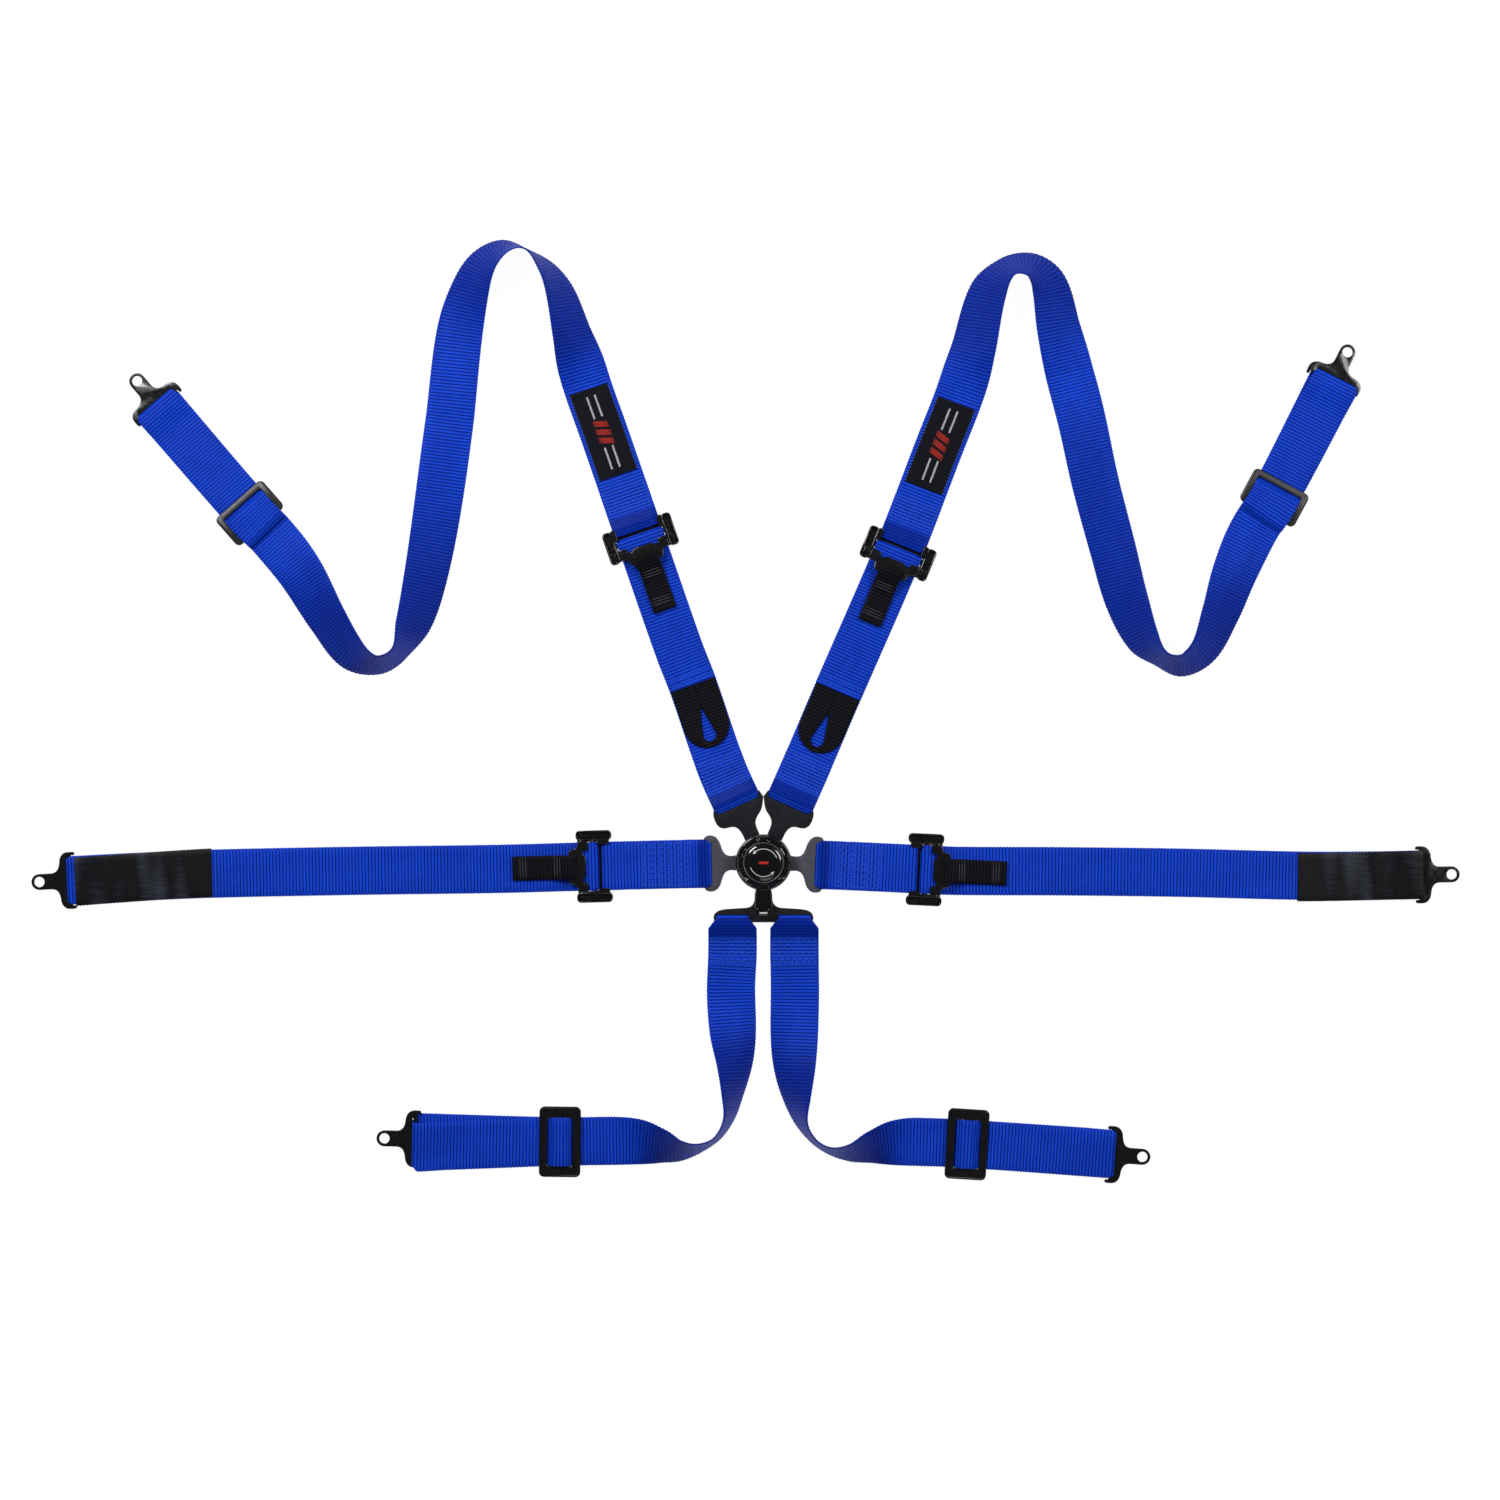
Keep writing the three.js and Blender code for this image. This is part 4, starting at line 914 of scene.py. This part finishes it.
def make_lever(arm, place):
    """The lock lever: a stepped plate with two pairs of teeth, on two ears that hang from a knurled bar."""
    node = f"{arm}_lock_lever"
    edge = symmetric(
        ("to", (8, -9.5)), ("to", (11, -13)), ("to", (10, -17.6)), ("to", (7.2, -15.5)), ("to", (5.6, -19.5)),
        ("to", (5.6, -26.2)), ("to", (14, -26.2)), ("quad", (16, -26), (16.6, -22.5)),
        ("quad", (17, -18.5), (21, -18)), ("quad", (25.6, -17.6), (25.6, -14)), count=6,
    )

    def dish(points):
        """The front edge curls up as a square, and a thumb hollow sinks the top by a bell-shaped depth."""
        u, v = points[:, 0], points[:, 1]
        points[:, 2] += 0.9 * np.clip((u - 15) / 10, 0, 1) ** 2
        points[:, 2] -= 0.5 * (points[:, 2] > 10.8) * np.exp(-((u - 17) / 3) ** 2 - (v / 13) ** 6)
        return points

    shells = [plate_mesh(node, [edge], 9.95, 11.6, 0.5, dish, place)]
    shells.append(rod_mesh(node, 0, BAR_Z, LOCK_BAR_RADIUS, CHEEK_OUT - 4.5, place, knurl=0.12))
    corners = [("to", (12, 9.9)), ("to", (12, 11.3)), ("to", (6.8, 11.3))]
    ear = outline(("arc", (0, BAR_Z), 3.4, 120, 320), *corners, count=8)
    for v in (-EAR_V, EAR_V):
        def stood(points):
            """Stood on edge, by swapping its across and its height."""
            return np.stack([points[:, 0], v + points[:, 2], points[:, 1]], axis=1)

        mesh = plate_mesh(node, [ear], -0.45, 0.45, 0.2, stood, place)
        mesh.flip_normals()
        shells.append(mesh)
    steel_piece(node, join_meshes(node, shells), ENAMEL)


def make_pull_tab(arm, place):
    """A stiff black tab on the lever: ramped down to the strap, its ends sewn across."""
    node = f"{arm}_pull_tab"
    x, y, turn = place
    line = Route([[x, y, 0], [x + 100 * math.cos(turn), y + 100 * math.sin(turn), 0]])
    reach = TAB_END - 6 if arm.endswith("shoulder") else TAB_END
    path = [[18, 13], [25, 12.9], [29, 11.6], [34, 8.6], [43, 5.4], [reach, 5.4]]
    tab = Band(line, path, half=lambda s: 12.3 + 0 * s, thick=2.4)
    tab.piece(f"{node}_webbing", node, BLACK_WEB, ribs=0.1)
    runs = (17, 20, 23, tab.length - 14, tab.length - 11, tab.length - 8)
    rows = [[run, -11.6, run, 11.6] for run in runs]
    thread(f"{node}_stitching", tab, rows, node, BLACK_THREAD, lift=0.05, radius=0.3)


def make_adjuster(arm, place):
    make_frame(arm, place)
    make_lever(arm, place)
    make_pull_tab(arm, place)


# ================= sliders =================
def make_slider(arm, long, wide, edge, paint):
    """A three-bar slider: two windows, as wide as the webbing, either side of its middle bar."""
    node = f"{arm}_slider"
    place = on_route(arm, spot(arm, "slider"))
    loops = [rounded(-long / 2, -wide / 2, long / 2, wide / 2, 5.5)]
    windows = [(-edge, -MIDDLE_BAR_HALF), (MIDDLE_BAR_HALF, edge)]
    loops += [rounded(low, -WINDOW_HALF, high, WINDOW_HALF, 2.5) for low, high in windows]

    def crown(points):
        """The rails are rolled: their tops fall away with the square of the nearness to the outer edge."""
        near = np.minimum(long / 2 - np.abs(points[:, 0]), wide / 2 - np.abs(points[:, 1]))
        points[:, 2] -= 0.9 * (points[:, 2] > 5.4) * (1 - np.clip(near / 4.5, 0, 1)) ** 2
        return points

    mesh = plate_mesh(node, loops, SLIDER_LOW, SLIDER_TOP, 1.1, crown, place)
    steel_piece(node, mesh, paint)


# ================= straps =================
def from_tongue(start):
    """A strap's first stretch: the layer below, the fold round the tongue, the start of the layer on top."""
    return [
        [start, LAYER], [14, LAYER + 1.2], [9, TONGUE_Z - FOLD_RADIUS],
        *fold_arc(FOLD_BACK, TONGUE_Z, FOLD_RADIUS, 270, 90),
        [11, TONGUE_Z + FOLD_RADIUS], [26, SECOND + 0.5],
    ]


def end_fold(s):
    """The fold round the bar of an anchor plate."""
    return fold_arc(s - FOLD_BACK, ANCHOR_Z, FOLD_RADIUS, -90, 90)


def slider_and_anchor(slider, edge, end, tail):
    """Over the slider's middle bar, round the anchor, back under the slider, up and over the bar again."""
    return [
        [slider - edge + 1, LAYER], [slider - 3.7, SLIDER_TOP + 1], [slider + 3.7, SLIDER_TOP + 1],
        [slider + edge - 1, LAYER], *end_fold(end),
        [end - 16, ANCHOR_Z + FOLD_RADIUS], [end - 32, SECOND], [slider + edge - 0.2, SECOND],
        [slider + 5, SLIDER_TOP + 2.5], [slider + 3.6, SLIDER_TOP + 3], *[[slider + s, h] for s, h in tail],
    ]


TONGUE_TIGHT = (FOLD_BACK, TONGUE_Z, 5)


def folded_half(start=None, end=None, start_half=21.2, end_half=21.5, reach=6):
    """Half a strap's width: full, but narrowing evenly over a reach towards a fold at either end."""
    def half(s):
        width = np.full_like(s, WEB_WIDTH / 2)
        if start is not None:
            width = np.minimum(width, start_half + (WEB_WIDTH / 2 - start_half) * (s - start) / reach)
        if end is not None:
            width = np.minimum(width, end_half + (WEB_WIDTH / 2 - end_half) * (end - s) / reach)
        return width
    return half


def make_shoulder(side):
    """A shoulder arm: tongue, lower strap with hem and pull loop, adjuster, upper strap, slider, anchor."""
    arm = f"{side}_shoulder"
    route = ROUTES[arm]
    hem, adjuster, label, slider = (spot(arm, key) for key in ("hem", "adjuster", "label", "slider"))
    end = route.length
    make_shoulder_tongue(side)

    lower = Band(route, [
        *from_tongue(54), [56, SECOND], [62, LAYER],
        [adjuster - 12, LAYER], [adjuster - 3, BAR_Z - LOCK_FOLD],
        *fold_arc(adjuster + LEAN, BAR_Z, LOCK_FOLD, -90, 90),
        [adjuster - 15, 7.2], [adjuster - 28, SECOND], [hem, SECOND],
    ], tight=[TONGUE_TIGHT, (adjuster, BAR_Z, 6)], half=folded_half(start=0))
    fold = lower.along(0, TONGUE_Z)
    wrap = lower.along(adjuster + LOCK_FOLD, BAR_Z)
    node = f"{arm}_lower_strap"
    lower.piece(f"{arm}_lower_webbing", node, BLUE, smooth_at=[(fold + 14, 5), (wrap - 6, 1.5)])
    rows = zigzag_box(lower.along(17, 5), lower.along(54, SECOND))
    rows += cross_stitches(lower.length - 4, lower.length - 11)
    thread(f"{arm}_lower_stitching", lower, rows[:-UNDERSIDE], node, BLUE_THREAD)
    thread(f"{arm}_hem_stitching", lower, rows[-UNDERSIDE:], node, BLUE_THREAD, side=-1)

    make_pull_loop(arm, hem)
    place = on_route(arm, adjuster, back=True)
    make_adjuster(arm, place)

    sewn = adjuster - SEWN_BAR_U
    upper = Band(route, [
        [sewn + 43, LAYER], [sewn + 8, LAYER], [sewn + 3, BAR_Z - SEWN_FOLD],
        *fold_arc(sewn - LEAN, BAR_Z, SEWN_FOLD, 270, 90),
        [sewn + 4, BAR_Z + SEWN_FOLD], [sewn + 22, SECOND], [sewn + 45, SECOND], [sewn + 51, LAYER],
        *slider_and_anchor(slider, SHOULDER_WINDOW, end, [[-8, 9.6], [-21.5, 8.9], [-25.5, 5.6]]),
    ], tight=[(sewn, BAR_Z, 5), (slider, SLIDER_TOP, 24), (end - FOLD_BACK, ANCHOR_Z, 5)],
        half=folded_half(end=end))
    upper.skew(upper.along(end, ANCHOR_Z), 1.5 if side == "left" else -3, 0, 130)
    fold = upper.along(sewn - SEWN_FOLD, BAR_Z)
    upper.piece(f"{arm}_upper_webbing", f"{arm}_upper_strap", BLUE, smooth_at=[(fold + 12, 5)])
    rows = zigzag_box(upper.along(sewn + 19, 4), upper.along(sewn + 44, SECOND), rows=6)
    thread(f"{arm}_upper_stitching", upper, rows, f"{arm}_upper_strap", BLUE_THREAD)

    make_label(arm, label)
    make_slider(arm, SHOULDER_SLIDER, 64, SHOULDER_WINDOW, SLIDER_STEEL)
    make_anchor(arm)


def make_label(arm, label):
    """A woven patch sewn along its edges, with plain bars embroidered down its middle."""
    node = f"{arm}_label"
    patch = Band(ROUTES[arm], [[label - 47, LAYER + 1.4], [label + 47, LAYER + 1.4]],
                 half=lambda s: 20.6 + 0 * s, thick=0.6)
    patch.piece(f"{arm}_label_patch", node, PATCH, ribs=0.0)
    rows = []
    for w in (-20.5, 20.5):
        rows += line_of_stitches(1, w, patch.length - 1, w, 3.4, 0.62)
    thread(f"{arm}_label_stitching", patch, rows, node, PALE_THREAD, lift=0.05, radius=0.36)
    bars = {
        "white": (WHITE_THREAD, [(8, 31, -5.6, -2.8, 0), (8, 31, 2.8, 5.6, 0),
                                 (63, 86, -5.6, -2.8, 0), (63, 86, 2.8, 5.6, 0)]),
        "red": (RED_THREAD, [(35, 41, -9.5, 9.5, 6), (44, 50, -9.5, 9.5, 6), (53, 59, -9.5, 9.5, 6)]),
    }
    for color, (paint, blocks) in bars.items():
        rows = []
        for run0, run1, w0, w1, slant in blocks:
            rows += [[run - slant / 2, w0, run + slant / 2, w1] for run in np.arange(run0, run1, 0.62)]
        thread(f"{arm}_label_bars_{color}", patch, rows, node, paint, lift=-0.05, radius=0.34)


def make_pull_loop(arm, hem):
    """A black loop under the hem: its outer edge straight, then a quarter ellipse, its two halves parted by a
    lens-shaped gap, and each half crowned by half a sine across."""
    node = f"{arm}_pull_loop"
    reach, open_from, open_to = 67, 24, 61
    rows, cols = 100, 10
    t = np.linspace(0, 1, rows + 1)[:, None]
    s = -reach * t
    outer = 24 * np.sqrt(np.clip(1 - (np.clip(-s - 42, 0, None) / (reach - 42 + 0.01)) ** 2, 0, 1))
    gap = np.where((-s > open_from) & (-s < open_to), 1, 0)
    depth = np.clip((-s - open_from) / (open_to - open_from), 0, 1)
    inner = gap * 8.2 * depth**0.9 * np.sqrt(np.clip((1 - depth) * 6, 0, 1))
    pieces = []
    for side in (-1, 1):
        frac = np.linspace(0, 1, cols)[None]
        w = side * (inner + (outer - inner) * frac)
        ring_w = np.concatenate([w, w[:, ::-1]], axis=1)
        wave = np.cos(2 * math.pi * s / RIB_PITCH)
        crown = 0.5 * np.sin(math.pi * np.linspace(0, 1, cols))[None] * np.clip(depth * 3, 0, 1)
        top = 0.62 + 0.12 * wave + crown
        bottom = -0.62 + 0 * top
        ring_n = np.concatenate([top, bottom[:, ::-1]], axis=1)
        flat_s = np.broadcast_to(s + hem - 0.4, ring_w.shape)
        points = ROUTES[arm].place(flat_s, ring_w, SECOND + ring_n)
        uv = np.stack([ring_w, np.broadcast_to(s, ring_w.shape)], axis=-1)
        mesh = grid_mesh(node, points, uv)
        clean_mesh(mesh)
        pieces.append(mesh)
    piece = finish_piece(new_object(f"{arm}_pull_loop_webbing", join_meshes(node, pieces)), node, BLACK_WEB)


def make_lap(side):
    """A lap arm: tongue, inner strap, adjuster, outer strap with its hem and wear strip, anchor."""
    arm = f"{side}_lap"
    route = ROUTES[arm]
    adjuster, hem, end = spot(arm, "adjuster"), spot(arm, "hem"), route.length
    make_lap_tongue(side)
    sewn = adjuster + SEWN_BAR_U
    inner = Band(route, [
        *from_tongue(30), [sewn - 22, SECOND], [sewn - 4, BAR_Z + SEWN_FOLD],
        *fold_arc(sewn + LEAN, BAR_Z, SEWN_FOLD, 90, -90),
        [sewn - 3, BAR_Z - SEWN_FOLD], [sewn - 8, LAYER], [36, LAYER],
    ], tight=[TONGUE_TIGHT, (sewn, BAR_Z, 5)], half=folded_half(start=0, start_half=20.5))
    fold = inner.along(0, TONGUE_Z)
    inner.piece(f"{arm}_inner_webbing", f"{arm}_inner_strap", BLUE, smooth_at=[(fold + 10, 2)])
    rows = zigzag_box(inner.along(22, 4), inner.along(sewn - 34, SECOND))
    thread(f"{arm}_inner_stitching", inner, rows, f"{arm}_inner_strap", BLUE_THREAD)
    make_adjuster(arm, on_route(arm, adjuster))

    outer = Band(route, [
        [hem, SECOND], [adjuster + 28, SECOND], [adjuster + 15, 7.2],
        *fold_arc(adjuster - LEAN, BAR_Z, LOCK_FOLD, 90, 270),
        [adjuster + 3, BAR_Z - LOCK_FOLD], [adjuster + 12, LAYER], *end_fold(end),
        [end - 16, ANCHOR_Z + FOLD_RADIUS], [end - 32, SECOND], [end - 52, SECOND],
    ], tight=[(adjuster, BAR_Z, 6), (end - FOLD_BACK, ANCHOR_Z, 5)], half=folded_half(end=end))
    outer.piece(f"{arm}_outer_webbing", f"{arm}_outer_strap", BLUE)
    rows = cross_stitches(3.5, 10.5)
    thread(f"{arm}_hem_stitching", outer, rows, f"{arm}_outer_strap", BLUE_THREAD, side=-1)

    left = side == "left"
    over = ANCHOR_Z + FOLD_RADIUS + 1.6
    last = [[end - 9.5, over]]
    if not left:
        last = [[end - 6, over], *fold_arc(end - FOLD_BACK, ANCHOR_Z, 4.85, 80, 35, 8)]
    cover = Band(route, [
        [hem + 0.4, SECOND], [end - 60, SECOND], [end - 50, SECOND + 1.7], [end - 33, SECOND + 1.9],
        [end - 16, over], *last,
    ], tight=[] if left else [(end - FOLD_BACK, ANCHOR_Z, 6)], half=folded_half(end=end + 4), thick=1)
    first_shift, last_shift = (-1.2, 1.6) if left else (-1.6, 0.4)
    cover.drift = lambda run: first_shift + (last_shift - first_shift) * run / cover.length
    cover.piece(f"{arm}_wear_strip_tape", f"{arm}_wear_strip", SATIN, ribs=0.0)
    make_anchor(arm)


def make_crotch(side):
    """A crotch arm: one strap narrowed at the double tongue, its slider and its anchor."""
    arm = f"{side}_crotch"
    route = ROUTES[arm]
    slider, end = spot(arm, "slider"), route.length
    strap = Band(route, [
        *from_tongue(50), [52, SECOND], [58, LAYER],
        *slider_and_anchor(slider, CROTCH_WINDOW, end, [[-3.6, 9.9], [-5, 9.4], [-11.2, 4.1]]),
    ], tight=[TONGUE_TIGHT, (slider, SLIDER_TOP, 18), (end - FOLD_BACK, ANCHOR_Z, 5)],
        half=lambda s: np.minimum(folded_half(end=end)(s),
                                  np.clip(CROTCH_NARROW + (s - 3) * 0.75, CROTCH_NARROW, WEB_WIDTH / 2)))
    strap.skew(strap.along(end, ANCHOR_Z), 9 if side == "left" else 1, -1.5 if side == "left" else 0, 150)
    fold = strap.along(0, TONGUE_Z)
    strap.piece(f"{arm}_webbing", f"{arm}_strap", BLUE, smooth_at=[(fold + 16, 8)])
    rows = zigzag_box(strap.along(24, 3.5), strap.along(55, SECOND), rows=7)
    thread(f"{arm}_stitching", strap, rows, f"{arm}_strap", BLUE_THREAD)
    make_slider(arm, CROTCH_SLIDER, 73, CROTCH_WINDOW, ENAMEL)
    make_anchor(arm)


# ================= buckle =================
def dial_mesh(name):
    """The dial: rings whose height steps up at a lip, rolls off at the rim and drops in six grooves, where a
    cosine of six waves round it is high, and whose radius draws in slightly between them."""
    angle = np.linspace(0, 2 * math.pi, 240, endpoint=False)[:, None]
    radius = np.array([[
        0, 6, 14, 19.6, 20.4, 20.9, 21.5, 22, 22.6, 23.4, 24.2, 25, 25.6, 26.2, 26.7, 27.1, 27.4,
    ]])
    lobes = 0.5 + 0.5 * np.cos(6 * angle + math.pi)
    groove = smooth_step(lobes, 0.45, 0.75)
    groove = groove * smooth_step(radius, 21.4, 22.2) * (1 - smooth_step(radius, 25, 25.9))
    shrink = 1 - 0.025 * smooth_step(radius, 22, 26) * (1 - smooth_step(lobes, 0.3, 0.8))
    lip = smooth_step(radius, 19.6, 20.6)
    top = 21.8 + 1.3 * lip - 1.6 * smooth_step(radius, 25.4, 27.4) - 2.2 * groove
    r_top = radius * shrink
    under = np.array([27.4, 27.2, 26.6, 14, 0])[None]
    z_under = np.array([20.6, 18.4, 17.7, 17.65, 17.65])[None] + 0 * angle
    r = 1.03 * np.concatenate([r_top, under * shrink[:, -1:]], axis=1)
    z = np.concatenate([top, z_under], axis=1)
    return turned_mesh(name, np.stack([r * np.cos(angle), r * np.sin(angle), z], axis=-1))


def lever_meshes(name, place):
    """The release lever: a tapering bar with a round end, and a raised rim along its edge."""
    half, end = LEVER_WIDTH / 2, -LEVER_REACH
    lever = symmetric(
        ("to", (-18, -half + 1)), ("quad", (-26, -half + 1.2), (-32, -half + 1)),
        ("quad", (-40, -half), (-48, -half)), ("quad", (end, -half), (end, -half + 5)),
    )[::-1]
    hollow = symmetric(
        ("to", (-25, -half + 3.2)), ("quad", (-40, -half + 2.2), (-46, -half + 2.2)),
        ("quad", (end + 5.4, -half + 2.4), (end + 5.2, -half + 6)),
    )[::-1]
    return [
        plate_mesh(name, [lever], 17.7, 20.2, 0.9, place=place),
        plate_mesh(name, [lever, hollow], 19.4, 21.5, 0.75, place=place),
    ]


def dome_height(r):
    """The cap's height: its edge, and a dome that follows a flattened circle."""
    return DOME_EDGE + DOME_RISE * np.clip(1 - (r / DOME_RADIUS) ** 2, 0, 1) ** 0.8


def make_buckle():
    """The buckle: base, cover, dial with its lever and the white bar on the lever's end, cap with its ring,
    and the bare parts inside.
    """
    cover = lathe_mesh("buckle_cover", [
        (4.6, 9), (28.2, 9), (29, 9.8), (29, 15.6), (28, 17.2), (25.6, 17.2), (25.2, 16.8), (25.2, 10.6),
        (4.6, 10.6),
    ])
    finish_piece(new_object("buckle_cover_shell", cover), "buckle_cover", ENAMEL)

    upwards = (0, 0, math.pi / 2)
    shells = [dial_mesh("release_dial"), *lever_meshes("release_dial", upwards)]
    dial = join_meshes("release_dial", shells)
    finish_piece(new_object("release_dial_and_lever", dial), "release_dial", GLOSS)
    # A thin white bar across the lever's end, standing a little above it.
    end_bar = rounded(-52.6, -4.2, -50.8, 4.2, 0.8)
    bar = plate_mesh("lever_end_bar", [end_bar], 21.35, 21.65, 0.1, place=upwards)
    side_part(new_object("lever_end_white_bar", bar), "release_dial", MARK_WHITE)

    rim = [(0, 23.5), (19.2, 23.5), (19.6, 23.9), (19.4, 24.3), (DOME_RADIUS, DOME_EDGE)]
    cap = lathe_mesh("dial_cap", rim + [(r, dome_height(r)) for r in np.linspace(17.6, 0, 16)])
    finish_piece(new_object("dial_cap_dome", cap), "dial_cap", GLOSS)
    ring = lathe_mesh("cap_ring", [(19.9, 23.3), (20.9, 23.3), (21, 23.9), (20.4, 24.3), (19.9, 24)])
    side_part(new_object("cap_bright_ring", ring), "dial_cap", GUNMETAL)
    make_turn_arrows()

    set_paint(frame["nodes"]["buckle_base"], ENAMEL)
    for node, piece in frame["nodes"].items():
        if node in ("spindle", "return_spring", "cam_plate") or node.endswith("latch_pin"):
            set_paint(piece, BARE_STEEL)


def on_dome(points):
    """Flat marks draped on the cap's dome."""
    points[:, 2] += dome_height(np.hypot(points[:, 0], points[:, 1]))
    return points


def polar(radius, degrees):
    """Points at a radius or radii and at angles in degrees."""
    angle = np.radians(degrees)
    return np.stack([radius * np.cos(angle), radius * np.sin(angle)], axis=1)


def make_turn_arrows():
    """Two curved turn arrows and a bar, plain signs that say which way the dial goes."""
    for index, start in enumerate((20, 200)):
        t = np.linspace(start, start + 105, 30)
        band = np.concatenate([polar(14.6, t), polar(13.8, t[::-1])])
        head = polar(np.array([16, 12.4, 14.2]), start + np.array([106, 106, 122]))
        shells = [plate_mesh("turn_arrow", [loop], 0.02, 0.24, 0.05, on_dome) for loop in (band, head)]
        piece = new_object(f"turn_arrow_{index + 1}", join_meshes("turn_arrow", shells))
        side_part(piece, "dial_cap", MARK_WHITE)
    bar = plate_mesh("cap_bar", [rounded(-5, -1.3, 5, 1.3, 1.2)], 0.02, 0.3, 0.08, on_dome)
    side_part(new_object("cap_red_bar", bar), "dial_cap", MARK_RED)


# ================= studio =================
def make_studio():
    """White paper that glows by itself, three soft lamps aimed at the middle, and a camera straight above."""
    floor = bpy.data.meshes.new("studio_floor")
    reach, level = 30.0, -0.0006
    corners = [(-reach, -reach, level), (reach, -reach, level), (reach, reach, level), (-reach, reach, level)]
    floor.from_pydata(corners, [], [(0, 1, 2, 3)])
    ground = new_object("studio_floor", floor)
    m = Nodes("studio_paper", 0.9, specular=0.05)
    m.put("Base Color", (0.1, 0.1, 0.1, 1))
    m.put("Emission Color", (1, 1, 1, 1))
    m.put("Emission Strength", 0.97)
    floor.materials.append(m.material)

    world = bpy.data.worlds.new("studio")
    bpy.context.scene.world = world
    world.use_nodes = True
    sky = world.node_tree.nodes["Background"].inputs
    sky["Color"].default_value = (1, 1, 1, 1)
    sky["Strength"].default_value = 0.05
    for name, place, size, power in (
        ("key", (-1.3, 1.5, 2.0), 1.0, 46),
        ("fill", (1.7, 0.8, 1.9), 1.1, 27),
        ("low", (0.3, -1.7, 2.0), 1.1, 4),
    ):
        light = bpy.data.lights.new(name, "AREA")
        light.size = size
        light.energy = power
        lamp = new_object(f"studio_{name}", light)
        lamp.location = place
        way = -np.array(place)
        yaw, pitch = math.atan2(way[1], way[0]), math.acos(-way[2] / np.linalg.norm(way))
        lamp.rotation_euler = (pitch, 0, yaw - math.pi / 2)

    camera = bpy.data.cameras.new("camera")
    camera.lens = 85
    camera.sensor_width = 36
    eye = new_object("camera", camera)
    wide, middle = 1.5495, (-0.0139, 0.1157)
    eye.location = (*middle, wide / camera.sensor_width * camera.lens)
    bpy.context.scene.camera = eye
    bpy.context.scene.view_settings.view_transform = "Standard"


make_studio()
make_buckle()
make_crotch_tongue()
for hand in SIDES:
    make_shoulder(hand)
    make_lap(hand)
    make_crotch(hand)
